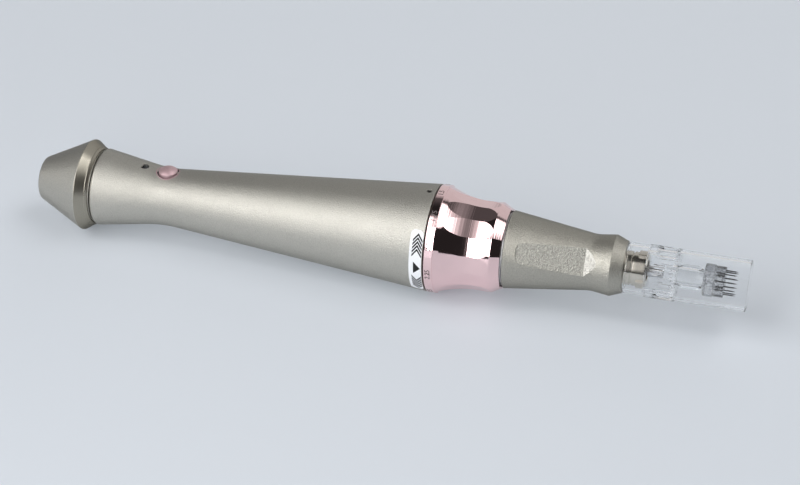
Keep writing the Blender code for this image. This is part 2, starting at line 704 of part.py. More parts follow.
def make_chassis(pen, chassis_axis):
    flange_rear = CHASSIS_FRONT - CHASSIS_FLANGE_THICKNESS
    flange_radius = housing_radius(flange_rear) - HOUSING_WALL - CLEARANCE
    chassis = turned("inner_chassis", [
        (CHASSIS_FRONT, flange_radius, 0),
        (flange_rear, flange_radius, 0),
        (flange_rear, CHASSIS_RADIUS, 0),
        (CHASSIS_REAR, CHASSIS_RADIUS, 0),
        (CHASSIS_REAR, CHASSIS_BORE, 0),
        (CHASSIS_FRONT, CHASSIS_BORE, 0),
    ], black_plastic, pen, station=CHASSIS_REAR)
    slot_height = BOARD_HEIGHT - CLEARANCE
    slot_length = flange_rear - CHASSIS_REAR + OVERRUN
    slot_centre = (flange_rear - slot_length / 2, 0, slot_height + CHASSIS_RADIUS / 2)
    slot = block("chassis_slot", (slot_length, CHASSIS_RADIUS * 2 + OVERRUN, CHASSIS_RADIUS), slot_centre,
                 None, chassis_axis, cutters)
    notch_height = flange_radius + OVERRUN - slot_height
    notch = block("chassis_notch", (slot_length, CHASSIS_NOTCH_WIDTH, notch_height),
                  (CHASSIS_FRONT, 0, slot_height + notch_height / 2), None, chassis_axis, cutters)
    cut(chassis, slot, notch)
    settle(chassis)

    cell = turned("battery_cell", [
        (CELL_FRONT, 0, 0),
        (CELL_FRONT, CELL_NECK_RADIUS, 0),
        (CELL_FRONT - CELL_NECK_LENGTH, CELL_NECK_RADIUS, 0),
        (CELL_FRONT - CELL_NECK_LENGTH, CELL_RADIUS, CELL_ROUND),
        (CELL_REAR, CELL_RADIUS, CELL_ROUND),
        (CELL_REAR, 0, 0),
    ], cell_sleeve, pen, station=CELL_REAR, segments=SMALL_SEGMENTS, closed=False)
    settle(cell)


def make_leads(chassis_axis):
    """Two wires from the board, up over the cell and through the chassis's notch to the motor."""
    half = LEAD_SPACING / 2
    low = BOARD_TOP + CLEARANCE + LEAD_RADIUS
    high = math.sqrt((CELL_RADIUS + CLEARANCE + LEAD_RADIUS) ** 2 - half ** 2)
    bend_rear = BOARD_FRONT - LEAD_BEND_LENGTH
    points = [(bend_rear - LEAD_OVERLAP, low)]
    for step in range(LEAD_BEND_STEPS + 1):
        share = step / LEAD_BEND_STEPS
        rise = share * share * (3 - 2 * share)
        points.append((bend_rear + LEAD_BEND_LENGTH * share, low + (high - low) * rise))
    points.append((MOTOR_REAR - CLEARANCE, high))
    for side, sense in (("left", 1), ("right", -1)):
        curve = wire(f"motor_lead_{side}", [(station, sense * half, height) for station, height in points],
                     LEAD_RADIUS, lead_sleeve)
        lead = bpy.data.objects.new(curve.name, curve)
        parts.objects.link(lead)
        lead.parent = chassis_axis


def motor_screw_places():
    """The two motor screws sit left and right of the shaft, as (down, across) from the axis."""
    return {"left": (0, MOTOR_SCREW_CIRCLE), "right": (0, -MOTOR_SCREW_CIRCLE)}


def make_motor(pen):
    can_rear = MOTOR_REAR + MOTOR_END_LENGTH + RUNNING_GAP
    end_cap = turned("motor_end_cap", [
        (MOTOR_REAR + MOTOR_END_LENGTH, 0, 0),
        (MOTOR_REAR + MOTOR_END_LENGTH, MOTOR_RADIUS - RUNNING_GAP, 0),
        (MOTOR_REAR, MOTOR_RADIUS - RUNNING_GAP, MOTOR_ROUND),
        (MOTOR_REAR, 0, 0),
    ], black_plastic, pen, station=MOTOR_REAR, segments=SMALL_SEGMENTS, closed=False)
    settle(end_cap)

    shaft_bore = SHAFT_RADIUS + RUNNING_GAP
    boss_front = MOTOR_FRONT + MOTOR_BOSS_LENGTH
    bore_rear = MOTOR_FRONT - SHAFT_DEPTH
    can = turned("motor_can", [
        (bore_rear, 0, 0),
        (bore_rear, shaft_bore, 0),
        (boss_front, shaft_bore, 0),
        (boss_front, MOTOR_BOSS_RADIUS, 0),
        (MOTOR_FRONT, MOTOR_BOSS_RADIUS, 0),
        (MOTOR_FRONT, MOTOR_RADIUS, MOTOR_ROUND),
        (can_rear, MOTOR_RADIUS, 0),
        (can_rear, 0, 0),
    ], motor_steel, pen, station=can_rear, segments=MIDDLE_SEGMENTS, closed=False)
    screw_tip = PLATE_FRONT - MOTOR_SCREW_LENGTH
    for side, place in motor_screw_places().items():
        cut(can, rod(f"can_hole_{side}", MOTOR_SCREW_RADIUS + RUNNING_GAP, screw_tip - CLEARANCE,
                     MOTOR_FRONT + OVERRUN, pen, cutters, TINY_SEGMENTS, place))
    settle(can)

    damper_rear = can_rear + CLEARANCE
    damper_radius = housing_radius(damper_rear) - HOUSING_WALL - CLEARANCE
    damper = turned("motor_damper", [
        (damper_rear + DAMPER_LENGTH, damper_radius, 0),
        (damper_rear, damper_radius, 0),
        (damper_rear, MOTOR_RADIUS + CLEARANCE, 0),
        (damper_rear + DAMPER_LENGTH, MOTOR_RADIUS + CLEARANCE, 0),
    ], black_rubber, pen, station=damper_rear, segments=SMALL_SEGMENTS)
    settle(damper)

    for side, place in motor_screw_places().items():
        make_motor_screw(side, place, pen)


def make_motor_screw(side, place, pen):
    head_front = PLATE_FRONT - RUNNING_GAP
    screw = turned(f"motor_screw_{side}", [
        (head_front, 0, 0),
        (head_front, MOTOR_SCREW_HEAD_RADIUS, 0),
        (head_front - MOTOR_SCREW_HEAD, MOTOR_SCREW_HEAD_RADIUS, 0),
        (head_front - MOTOR_SCREW_HEAD, MOTOR_SCREW_RADIUS, 0),
        (PLATE_FRONT - MOTOR_SCREW_LENGTH, MOTOR_SCREW_RADIUS, 0),
        (PLATE_FRONT - MOTOR_SCREW_LENGTH, 0, 0),
    ], bright_steel, pen, station=MOTOR_FRONT, segments=TINY_SEGMENTS, closed=False)
    screw.location.xy = place
    settle(screw)


def make_rotor(rotor_axis):
    bore_rear = MOTOR_FRONT - SHAFT_DEPTH
    shaft = rod("motor_shaft", SHAFT_RADIUS, bore_rear + CLEARANCE, CAM_LOW, rotor_axis, parts,
                TINY_SEGMENTS, finish=bright_steel)
    settle(shaft)

    cam_bore = SHAFT_RADIUS + RUNNING_GAP
    cam = turned("drive_cam", [
        (CAM_HIGH + OVERRUN, CAM_RADIUS, 0),
        (CAM_REAR, CAM_RADIUS, 0),
        (CAM_REAR, cam_bore, 0),
        (CAM_HIGH + OVERRUN, cam_bore, 0),
    ], white_acetal, rotor_axis, station=CAM_REAR, segments=MIDDLE_SEGMENTS)
    tilt = math.atan(CAM_SLOPE)
    height = (CAM_HIGH - CAM_LOW + OVERRUN) * 2
    width = CAM_RADIUS * 4
    middle = (CAM_LOW + CAM_HIGH) / 2
    wedge = block("cam_slope", (width, width, height),
                  (math.sin(tilt) * height / 2, 0, middle + math.cos(tilt) * height / 2),
                  None, rotor_axis, cutters, (0, tilt, 0))
    cut(cam, wedge)
    settle(cam)


def make_front_frame(pen, chassis_axis, screw_axis):
    skirt = HOUSING_BORE_RADIUS - CLEARANCE
    motor_bore = MOTOR_RADIUS + CLEARANCE
    shoulder = HOUSING_FRONT
    seal_station = JOURNAL_FRONT - SEAL_INSET
    seal_radius = JOURNAL_RADIUS + CLEARANCE - SEAL_SLACK - SEAL_CORD_RADIUS
    groove_half = SEAL_CORD_RADIUS + SEAL_SLACK
    groove_floor = seal_radius - SEAL_CORD_RADIUS - SEAL_SLACK
    bush_seat = BUSH_RADIUS + RUNNING_GAP
    frame = turned("front_frame", [
        (FRAME_FRONT, FRAME_NOSE_RADIUS, HOUSING_EDGE_ROUND),
        (WEB_FRONT, FRAME_NOSE_RADIUS, 0),
        (WEB_FRONT, GUIDE_RADIUS, 0),
        (JOURNAL_FRONT, GUIDE_RADIUS, 0),
        (JOURNAL_FRONT, JOURNAL_RADIUS, 0),
        (seal_station + groove_half, JOURNAL_RADIUS, 0),
        (seal_station + groove_half, groove_floor, 0),
        (seal_station - groove_half, groove_floor, 0),
        (seal_station - groove_half, JOURNAL_RADIUS, 0),
        (shoulder, JOURNAL_RADIUS, 0),
        (shoulder, skirt, 0),
        (FRAME_REAR, skirt, 0),
        (FRAME_REAR, motor_bore, 0),
        (PLATE_REAR, motor_bore, 0),
        (PLATE_REAR, MOTOR_BOSS_RADIUS + CLEARANCE, 0),
        (PLATE_FRONT, MOTOR_BOSS_RADIUS + CLEARANCE, 0),
        (PLATE_FRONT, CHAMBER_RADIUS, 0),
        (CHAMBER_FRONT, CHAMBER_RADIUS, 0),
        (CHAMBER_FRONT, bush_seat, 0),
        (FRAME_FRONT, bush_seat, 0),
    ], machined_aluminium, pen, station=FRAME_REAR)
    key_floor = GUIDE_RADIUS - KEY_DEPTH
    for side, sense in (("left", 1), ("right", -1)):
        length = WEB_FRONT + OVERRUN - JOURNAL_FRONT
        cut(frame, block(f"keyway_{side}", (length, GUIDE_RADIUS, KEY_WIDTH + CLEARANCE * 2),
                         (JOURNAL_FRONT + length / 2, sense * (key_floor + GUIDE_RADIUS / 2), 0),
                         None, chassis_axis, cutters))
    for side, place in motor_screw_places().items():
        seat_floor = PLATE_FRONT - MOTOR_SCREW_HEAD - RUNNING_GAP * 2
        screw_hole = turned(f"screw_hole_{side}", [
            (PLATE_FRONT + CLEARANCE, 0, 0),
            (PLATE_FRONT + CLEARANCE, MOTOR_SCREW_HEAD_RADIUS + RUNNING_GAP, 0),
            (seat_floor, MOTOR_SCREW_HEAD_RADIUS + RUNNING_GAP, 0),
            (seat_floor, MOTOR_SCREW_RADIUS + RUNNING_GAP, 0),
            (PLATE_REAR - OVERRUN, MOTOR_SCREW_RADIUS + RUNNING_GAP, 0),
            (PLATE_REAR - OVERRUN, 0, 0),
        ], None, pen, segments=TINY_SEGMENTS, closed=False, home=cutters)
        screw_hole.location.xy = place
        cut(frame, screw_hole)
    screw_top = housing_radius(FRAME_SCREW_STATION) - FRAME_SCREW_SUNK
    screw_low = screw_top - FRAME_SCREW_LENGTH
    cut(frame, rod("frame_screw_seat", FRAME_SCREW_RADIUS + RUNNING_GAP, screw_low - CLEARANCE,
                   HOUSING_FRONT_RADIUS, screw_axis, cutters, TINY_SEGMENTS))
    settle(frame)

    screw = rod("frame_screw", FRAME_SCREW_RADIUS, screw_low, screw_top, screw_axis, parts,
                TINY_SEGMENTS, finish=bright_steel)
    cut(screw, rod("hex_socket", HEX_RADIUS, screw_top - HEX_DEPTH, screw_top + OVERRUN, screw_axis, cutters,
                   HEX_SIDES))
    settle(screw)

    seal = turned("ring_seal", seal_corners(seal_station, seal_radius), black_rubber, pen,
                  station=seal_station)
    settle(seal)

    flange_front = FRAME_FRONT + CLEARANCE + BUSH_FLANGE_THICKNESS
    bush = turned("plunger_bush", [
        (flange_front, BUSH_FLANGE_RADIUS, 0),
        (FRAME_FRONT + CLEARANCE, BUSH_FLANGE_RADIUS, 0),
        (FRAME_FRONT + CLEARANCE, BUSH_RADIUS, 0),
        (CHAMBER_FRONT, BUSH_RADIUS, 0),
        (CHAMBER_FRONT, BUSH_BORE, 0),
        (flange_front, BUSH_BORE, 0),
    ], bronze, pen, station=CHAMBER_FRONT, segments=SMALL_SEGMENTS)
    settle(bush)


def make_plunger(plunger_axis):
    head_radius = CHAMBER_RADIUS - CLEARANCE
    plunger = turned("plunger", [
        (PLUNGER_FRONT, 0, 0),
        (PLUNGER_FRONT, PLUNGER_RADIUS, HOUSING_EDGE_ROUND),
        (HEAD_FRONT, PLUNGER_RADIUS, 0),
        (HEAD_FRONT, head_radius, 0),
        (HEAD_REAR, head_radius, 0),
        (HEAD_REAR, 0, 0),
    ], bright_steel, plunger_axis, station=HEAD_REAR, segments=SMALL_SEGMENTS, closed=False)
    place = (-FOLLOWER_RADIUS, 0)
    pocket = BALL_RADIUS + RUNNING_GAP
    cut(plunger, rod("ball_pocket", pocket, HEAD_REAR - OVERRUN, BALL_CENTRE + pocket, plunger_axis, cutters,
                     SMALL_SEGMENTS, place))
    settle(plunger)

    mesh = bpy.data.meshes.new("follower_ball")
    shape = bmesh.new()
    bmesh.ops.create_uvsphere(shape, u_segments=TINY_SEGMENTS, v_segments=BALL_RINGS, radius=BALL_RADIUS)
    shape.to_mesh(mesh)
    shape.free()
    mesh.materials.append(bright_steel)
    ball = new_object("follower_ball", mesh, parts, plunger_axis, (*place, BALL_CENTRE))
    settle(ball)


def make_return_spring(pen):
    """A wire wound round the plunger between its head and the frame's web, closed turn free at both ends."""
    low = HEAD_FRONT + CLEARANCE + SPRING_WIRE_RADIUS
    high = CHAMBER_FRONT - CLEARANCE - SPRING_WIRE_RADIUS
    count = SPRING_TURNS * SPRING_POINTS_PER_TURN + 1
    centres = []
    for index in range(count):
        share = index / (count - 1)
        angle = math.tau * SPRING_TURNS * share
        centres.append(Vector((SPRING_RADIUS * math.cos(angle), SPRING_RADIUS * math.sin(angle),
                               low + (high - low) * share)))
    curve = wire("return_spring", centres, SPRING_WIRE_RADIUS, bright_steel)
    spring = bpy.data.objects.new(curve.name, curve)
    parts.objects.link(spring)
    spring.parent = pen
    gaps = [
        (one - other).length - SPRING_WIRE_RADIUS * 2
        for index, one in enumerate(centres)
        for other in centres[index + SPRING_POINTS_PER_TURN // 2:]
    ]
    print(f"return spring: least gap to itself {min(gaps) / MM:.2f} mm")


def ring_flank():
    """The dial's hollow flank, from its lowest place back to the band: an arc of (station, radius) points."""
    band_front = RING_REAR + RING_BAND_LENGTH
    rise = RING_RADIUS - RING_BAND_STEP - RING_LAND_RADIUS
    arc = (RING_FLANK_LENGTH ** 2 + rise ** 2) / (rise + rise)
    points = []
    for step in range(RING_FLANK_STEPS + 1):
        away = RING_FLANK_LENGTH * step / RING_FLANK_STEPS
        height = arc - math.sqrt(arc ** 2 - away ** 2)
        points.append((band_front + RING_FLANK_LENGTH - away, RING_LAND_RADIUS + height, 0))
    return points


def scallop_profile():
    """A scallop's floor from its rear to its front, closed well above the dial, as (station, height)."""
    lowest = RING_REAR + SCALLOP_DISTANCE
    floor = RING_LAND_RADIUS - SCALLOP_DEPTH
    places = []
    for step in range(SCALLOP_STEPS):
        places.append((-SCALLOP_REACH * (1 - step / SCALLOP_STEPS), SCALLOP_RADIUS))
    for step in range(SCALLOP_FRONT_STEPS + 1):
        places.append((SCALLOP_FRONT_REACH * step / SCALLOP_FRONT_STEPS, SCALLOP_FRONT_RADIUS))
    profile = [(lowest + away, floor + arc - math.sqrt(arc ** 2 - away ** 2)) for away, arc in places]
    top = RING_RADIUS + OVERRUN
    return profile + [(profile[-1][0], top), (profile[0][0], top)]


def make_depth_ring(ring_axis):
    bore = JOURNAL_RADIUS + CLEARANCE
    band_front = RING_REAR + RING_BAND_LENGTH
    ring = turned("depth_ring", [
        (RING_FRONT, RING_FRONT_RADIUS, 0),
        (RING_FRONT - RING_COLLAR_LENGTH, RING_LAND_RADIUS, 0),
        *ring_flank(),
        (band_front, RING_RADIUS, RING_EDGE_ROUND),
        (RING_REAR, RING_RADIUS, RING_EDGE_ROUND),
        (RING_REAR, bore, 0),
        (RING_FRONT, bore, 0),
    ], rose_metal, ring_axis, station=RING_REAR, segments=RING_SEGMENTS)
    outline = [(height, station) for station, height in scallop_profile()]
    for index in range(SCALLOP_COUNT):
        angle = SCALLOP_PHASE + math.tau * index / SCALLOP_COUNT
        scallop_axis = new_empty(f"scallop_axis_{index}", ring_axis, (0, 0, 0), (0, 0, angle))
        cut(ring, prism(f"scallop_{index}", outline, RING_RADIUS, cutters, scallop_axis, (0, 0, 0),
                        (math.radians(90), 0, 0)))
    settle(ring)


def pocket_profile():
    """The finger pocket's floor from its rear to where its scoop meets the nozzle, as (station, height)."""
    start = NOZZLE_REAR + POCKET_START
    end = start + POCKET_LENGTH
    scoop_end = end + POCKET_SCOOP_LENGTH
    floor_start = (start, nozzle_radius(start) - POCKET_START_DEPTH)
    floor_end = (end, nozzle_radius(end) - POCKET_END_DEPTH)
    lip = (scoop_end, nozzle_radius(scoop_end))
    rise = lip[1] - floor_end[1]
    slope = (floor_end[1] - floor_start[1]) / POCKET_LENGTH
    before_start = (start - OVERRUN, floor_start[1] - slope * OVERRUN)
    beyond = (scoop_end + POCKET_SCOOP_LENGTH, lip[1] + rise + OVERRUN)
    top = NOZZLE_REAR_RADIUS + OVERRUN
    middle = (end + POCKET_SCOOP_LENGTH / 2, floor_end[1] + rise * SCOOP_RISE_SHARE)
    return [before_start, floor_end, middle, lip, beyond, (beyond[0], top), (before_start[0], top)]


def pocket_outline():
    """The pocket's plan: a slot whose rear end is an arc, as (station, across)."""
    start = NOZZLE_REAR + POCKET_START
    front = start + POCKET_LENGTH + POCKET_SCOOP_LENGTH * 2
    centre = start + POCKET_ROUND
    outline = [(front, -POCKET_WIDTH / 2), (front, POCKET_WIDTH / 2), (centre, POCKET_WIDTH / 2)]
    for step in range(TINY_SEGMENTS + 1):
        angle = math.pi * (0.5 + step / TINY_SEGMENTS)
        outline.append((centre + POCKET_ROUND * math.cos(angle), POCKET_ROUND * math.sin(angle)))
    outline.append((centre, -POCKET_WIDTH / 2))
    return outline


def make_nozzle(nozzle_axis):
    socket = nozzle_radius(NOZZLE_REAR) - NOZZLE_SOCKET_WALL
    throat_station = NOSE_REAR - CLEARANCE - OVERRUN
    seat = NOSE_RADIUS + CLEARANCE
    seat_rear = NOSE_REAR + NOSE_FLANGE_LENGTH + CLEARANCE
    nozzle = turned("nozzle_grip", [
        (NOZZLE_FRONT, NOZZLE_FACE_RADIUS, 0),
        (NOZZLE_REAR + NOZZLE_LIP_DISTANCE, NOZZLE_LIP_RADIUS, NOZZLE_LIP_ROUND),
        (NOZZLE_REAR + NOZZLE_WAIST_DISTANCE, NOZZLE_WAIST_RADIUS, NOZZLE_WAIST_ROUND),
        (NOZZLE_REAR, NOZZLE_REAR_RADIUS, NOZZLE_EDGE_ROUND),
        (NOZZLE_REAR, socket, 0),
        (NOZZLE_REAR + NOZZLE_SOCKET_DEPTH, socket, 0),
        (NOZZLE_REAR + NOZZLE_SOCKET_DEPTH, CARRIER_BORE, 0),
        (NOZZLE_BORE_FRONT, CARRIER_BORE, 0),
        (throat_station, NOZZLE_THROAT_RADIUS, 0),
        (seat_rear, NOZZLE_THROAT_RADIUS, 0),
        (seat_rear, seat, 0),
        (NOZZLE_FRONT, seat, 0),
    ], champagne_aluminium, nozzle_axis, station=NOZZLE_REAR, segments=OUTER_SEGMENTS)
    height = NOZZLE_REAR_RADIUS + OVERRUN
    for index in range(POCKET_COUNT):
        angle = math.tau * index / POCKET_COUNT
        pocket_axis = new_empty(f"pocket_axis_{index}", nozzle_axis, (0, 0, 0), (0, 0, angle))
        side = prism(f"pocket_{index}", [(height_at, station) for station, height_at in pocket_profile()],
                     POCKET_WIDTH, cutters, pocket_axis, (0, 0, 0), (math.radians(90), 0, 0))
        plan = prism(f"pocket_plan_{index}", pocket_outline(), height, cutters, pocket_axis,
                     (NOZZLE_FACE_RADIUS + height / 2 - OVERRUN, 0, 0), (0, math.radians(-90), 0))
        combine(side, plan, "INTERSECT")
        cut(nozzle, side)
    settle(nozzle)

    spigot = socket - CLEARANCE
    spigot_front = NOZZLE_REAR + NOZZLE_SOCKET_DEPTH - CLEARANCE
    shoulder = NOZZLE_REAR - CLEARANCE
    carrier = turned("nozzle_carrier", [
        (spigot_front, spigot, 0),
        (shoulder, spigot, 0),
        (shoulder, JOURNAL_RADIUS, 0),
        (CARRIER_REAR, JOURNAL_RADIUS, HOUSING_EDGE_ROUND),
        (CARRIER_REAR, CARRIER_BORE, 0),
        (spigot_front, CARRIER_BORE, 0),
    ], machined_aluminium, nozzle_axis, station=CARRIER_REAR)
    key_low = GUIDE_RADIUS - KEY_DEPTH + CLEARANCE
    key_high = (CARRIER_BORE + JOURNAL_RADIUS) / 2
    for side_name, sense in (("left", 1), ("right", -1)):
        key = block(f"carrier_key_{side_name}", (KEY_WIDTH, key_high - key_low, shoulder - CARRIER_REAR),
                    (0, sense * (key_low + key_high) / 2, (shoulder + CARRIER_REAR) / 2),
                    None, nozzle_axis, cutters)
        combine(carrier, key, "UNION")
    settle(carrier)


def make_bayonet_nose(nozzle_axis):
    groove_rear = NOZZLE_FRONT + NOSE_GROOVE_DISTANCE
    groove_front = groove_rear + NOSE_GROOVE_LENGTH
    groove_floor = NOSE_RADIUS - NOSE_GROOVE_DEPTH
    flange_front = NOSE_REAR + NOSE_FLANGE_LENGTH
    nose = turned("bayonet_nose", [
        (NOSE_FRONT, NOSE_RADIUS, NOSE_EDGE_ROUND),
        (groove_front, NOSE_RADIUS, 0),
        (groove_front, groove_floor, 0),
        (groove_rear, groove_floor, 0),
        (groove_rear, NOSE_RADIUS, 0),
        (flange_front, NOSE_RADIUS, 0),
        (flange_front, NOSE_FLANGE_RADIUS, 0),
        (NOSE_REAR, NOSE_FLANGE_RADIUS, 0),
        (NOSE_REAR, NOSE_BORE_RADIUS, 0),
        (NOSE_FRONT, NOSE_BORE_RADIUS, 0),
    ], polished_nickel, nozzle_axis, station=NOSE_REAR)
    lug_rear = NOZZLE_FRONT + LUG_DISTANCE
    lug_front = lug_rear + LUG_LENGTH
    lug_root = (NOSE_BORE_RADIUS + NOSE_RADIUS) / 2
    lugs = turned("nose_lugs", [
        (lug_front, LUG_RADIUS, 0),
        (lug_rear, LUG_RADIUS, 0),
        (lug_rear, lug_root, 0),
        (lug_front, lug_root, 0),
    ], None, nozzle_axis, home=cutters)
    slab = block("lug_slab", (LUG_RADIUS * 3, LUG_WIDTH, LUG_LENGTH * 2),
                 (0, 0, (lug_rear + lug_front) / 2), None, nozzle_axis, cutters, (0, 0, LUG_ANGLE))
    combine(lugs, slab, "INTERSECT")
    combine(nose, lugs, "UNION")
    settle(nose)


def make_cartridge_shell(shell_axis):
    skirt_bore = SHELL_RADIUS - SKIRT_WALL
    web_bore = NOSE_RADIUS + CLEARANCE
    tube_bore = SHELL_RADIUS - SHELL_WALL
    bulkhead_rear = TUBE_REAR - BULKHEAD
    neck_root = NECK_BORE + NECK_WALL
    bulge_station = TUBE_REAR + NECK_LENGTH / 2
    bulge_half = NECK_LENGTH / 4
    shell = turned("cartridge_shell", [
        (SHELL_FRONT, SHELL_RADIUS, NOSE_EDGE_ROUND),
        (TUBE_REAR, SHELL_RADIUS, 0),
        (TUBE_REAR, BAND_RADIUS, 0),
        (BAND_REAR, BAND_RADIUS, 0),
        (BAND_REAR, SHELL_RADIUS, 0),
        (SHELL_REAR, SHELL_RADIUS, NOSE_EDGE_ROUND),
        (SHELL_REAR, skirt_bore, 0),
        (BAND_REAR, skirt_bore, 0),
        (BAND_REAR, web_bore, 0),
        (BAND_FRONT, web_bore, 0),
        (BAND_FRONT, COLLAR_BORE_RADIUS, 0),
        (bulkhead_rear, COLLAR_BORE_RADIUS, 0),
        (bulkhead_rear, NECK_BORE, 0),
        (NECK_FRONT, NECK_BORE, 0),
        (NECK_FRONT, neck_root, 0),
        (bulge_station + bulge_half, NECK_BULGE_RADIUS, NECK_BULGE_ROUND),
        (bulge_station - bulge_half, NECK_BULGE_RADIUS, NECK_BULGE_ROUND),
        (TUBE_REAR, neck_root, 0),
        (TUBE_REAR, tube_bore, 0),
        (SHELL_FRONT, tube_bore, 0),
    ], clear_plastic, shell_axis, station=SHELL_REAR, segments=RIB_COUNT)
    slot_width = LUG_WIDTH + CLEARANCE * 2
    slot = block("lug_slot", ((LUG_RADIUS + CLEARANCE) * 2, slot_width, BAND_LENGTH + OVERRUN),
                 (0, 0, (BAND_REAR + BAND_FRONT) / 2), None, shell_axis, cutters, (0, 0, LUG_SLOT_ANGLE))
    cut(shell, rib_grooves(shell_axis), slot)
    settle(shell)


def rib_grooves(shell_axis):
    """Boxes spaced round the collar, which leave its lengthwise ribs standing between them."""
    length = COLLAR_LENGTH - RIB_MARGIN * 2
    floor = BAND_RADIUS - RIB_GROOVE_DEPTH
    height = RIB_GROOVE_DEPTH + OVERRUN
    mesh = bpy.data.meshes.new("rib_grooves")
    shape = bmesh.new()
    for index in range(RIB_COUNT):
        angle = math.tau * (index + 0.5) / RIB_COUNT
        place = Matrix.Rotation(angle, 4, "Z") @ Matrix.Translation((floor + height / 2, 0, 0))
        made = bmesh.ops.create_cube(shape, size=1, matrix=Matrix.Identity(4))
        bmesh.ops.scale(shape, vec=(height, RIB_GROOVE_WIDTH, length), verts=made["verts"])
        bmesh.ops.transform(shape, matrix=place, verts=made["verts"])
    shape.to_mesh(mesh)
    shape.free()
    return new_object("rib_grooves", mesh, cutters, shell_axis, (0, 0, BAND_FRONT + COLLAR_LENGTH / 2))


def make_needles(needle_axis):
    carrier = turned("needle_carrier", [
        (DISC_FRONT, 0, 0),
        (DISC_FRONT, CARRIER_DISC_RADIUS, CARRIER_DISC_ROUND),
        (DISC_REAR, CARRIER_DISC_RADIUS, CARRIER_DISC_ROUND),
        (DISC_REAR, STEM_RADIUS, 0),
        (STEM_REAR, STEM_RADIUS, CARRIER_DISC_ROUND),
        (STEM_REAR, 0, 0),
    ], frosted_plastic, needle_axis, station=STEM_REAR, segments=SMALL_SEGMENTS, closed=False)
    settle(carrier)

    needle_block = turned("needle_block", [
        (BLOCK_FRONT, 0, 0),
        (BLOCK_FRONT, NEEDLE_BLOCK_RADIUS, CARRIER_DISC_ROUND),
        (BLOCK_REAR, NEEDLE_BLOCK_RADIUS, 0),
        (BLOCK_REAR, 0, 0),
    ], bright_steel, needle_axis, station=BLOCK_REAR, segments=SMALL_SEGMENTS, closed=False)
    combine(needle_block, needle_set(needle_axis), "UNION")
    settle(needle_block)


def needle_places():
    places = []
    circles = ((NEEDLE_OUTER_CIRCLE, NEEDLE_OUTER_COUNT), (NEEDLE_INNER_CIRCLE, NEEDLE_INNER_COUNT))
    for circle, count in circles:
        for index in range(count):
            angle = math.tau * (index + 0.25) / count
            places.append((circle * math.cos(angle), circle * math.sin(angle)))
    return places


def needle_set(needle_axis):
    """The needles: each a steel pin rooted in the block, drawn to a point at its front."""
    root = (BLOCK_REAR + BLOCK_FRONT) / 2
    tip = BLOCK_FRONT + NEEDLE_LENGTH
    shoulder = tip - NEEDLE_TIP_LENGTH
    mesh = bpy.data.meshes.new("needle_set")
    shape = bmesh.new()
    for x, y in needle_places():
        made = bmesh.ops.create_cone(
            shape, cap_ends=True, segments=NEEDLE_SIDES, radius1=NEEDLE_RADIUS, radius2=NEEDLE_RADIUS,
            depth=shoulder - root, matrix=Matrix.Translation((x, y, (root + shoulder) / 2)),
        )
        rim = [vertex for vertex in made["verts"] if vertex.co.z > (root + shoulder) / 2]
        cap = next(face for face in rim[0].link_faces if all(vertex in rim for vertex in face.verts))
        poked = bmesh.ops.poke(shape, faces=[cap])
        poked["verts"][0].co.z = tip
    shape.to_mesh(mesh)
    shape.free()
    return new_object("needle_set", mesh, cutters, needle_axis, (0, 0, 0))


def make_pen():
    tail = -PEN_LENGTH / 2
    lying = (0, math.radians(90), 0)
    pen = new_empty("pen_axis", None, (tail, 0, AXIS_HEIGHT), lying)
    chassis_axis = new_empty("chassis_axis", None, (tail, 0, AXIS_HEIGHT))
    button_axis = new_empty("button_axis", None, (tail + BUTTON_STATION, 0, AXIS_HEIGHT))
    led_axis = new_empty("led_axis", None, (tail + LED_STATION, 0, AXIS_HEIGHT))
    screw_axis = new_empty("screw_axis", None, (tail + FRAME_SCREW_STATION, 0, AXIS_HEIGHT))
    rotor_axis = new_empty("rotor_axis", pen)
    plunger_axis = new_empty("plunger_axis", pen)
    ring_axis = new_empty("ring_axis", pen)
    nozzle_axis = new_empty("nozzle_axis", pen)
    shell_axis = new_empty("shell_axis", nozzle_axis)
    needle_axis = new_empty("needle_axis", shell_axis)

    make_rear_cone_cap(pen)
    make_main_housing(pen, button_axis, led_axis, screw_axis)
    button_low = make_button(button_axis, pen)
    make_electronics(chassis_axis, button_axis, led_axis, button_low)
    make_chassis(pen, chassis_axis)
    make_leads(chassis_axis)
    make_motor(pen)
    make_rotor(rotor_axis)
    make_front_frame(pen, chassis_axis, screw_axis)
    make_plunger(plunger_axis)
    make_return_spring(pen)
    make_depth_ring(ring_axis)
    make_nozzle(nozzle_axis)
    make_bayonet_nose(nozzle_axis)
    make_cartridge_shell(shell_axis)
    make_needles(needle_axis)


clear_scene()
parts = new_collection("microneedling_pen")
cutters = new_collection("cutters")

champagne_aluminium = new_material("champagne_aluminium", (0.50, 0.49, 0.44), 0.32, 0.9)
rose_metal = new_material("rose_metal", (0.80, 0.53, 0.52), 0.12, 1.0)
polished_nickel = new_material("polished_nickel", (0.66, 0.63, 0.57), 0.15, 1.0)
machined_aluminium = new_material("machined_aluminium", (0.62, 0.62, 0.62), 0.3, 1.0)
motor_steel = new_material("motor_steel", (0.55, 0.56, 0.57), 0.35, 1.0)
bright_steel = new_material("bright_steel", (0.70, 0.71, 0.72), 0.18, 1.0)
bronze = new_material("bronze", (0.62, 0.42, 0.22), 0.35, 1.0)
black_plastic = new_material("black_plastic", (0.03, 0.03, 0.03), 0.45, 0.0)
black_rubber = new_material("black_rubber", (0.02, 0.02, 0.02), 0.8, 0.0)
white_acetal = new_material("white_acetal", (0.85, 0.85, 0.82), 0.4, 0.0)
board_green = new_material("board_green", (0.03, 0.16, 0.07), 0.5, 0.0)
cell_sleeve = new_material("cell_sleeve", (0.05, 0.12, 0.30), 0.4, 0.0)
lead_sleeve = new_material("lead_sleeve", (0.45, 0.04, 0.03), 0.5, 0.0)
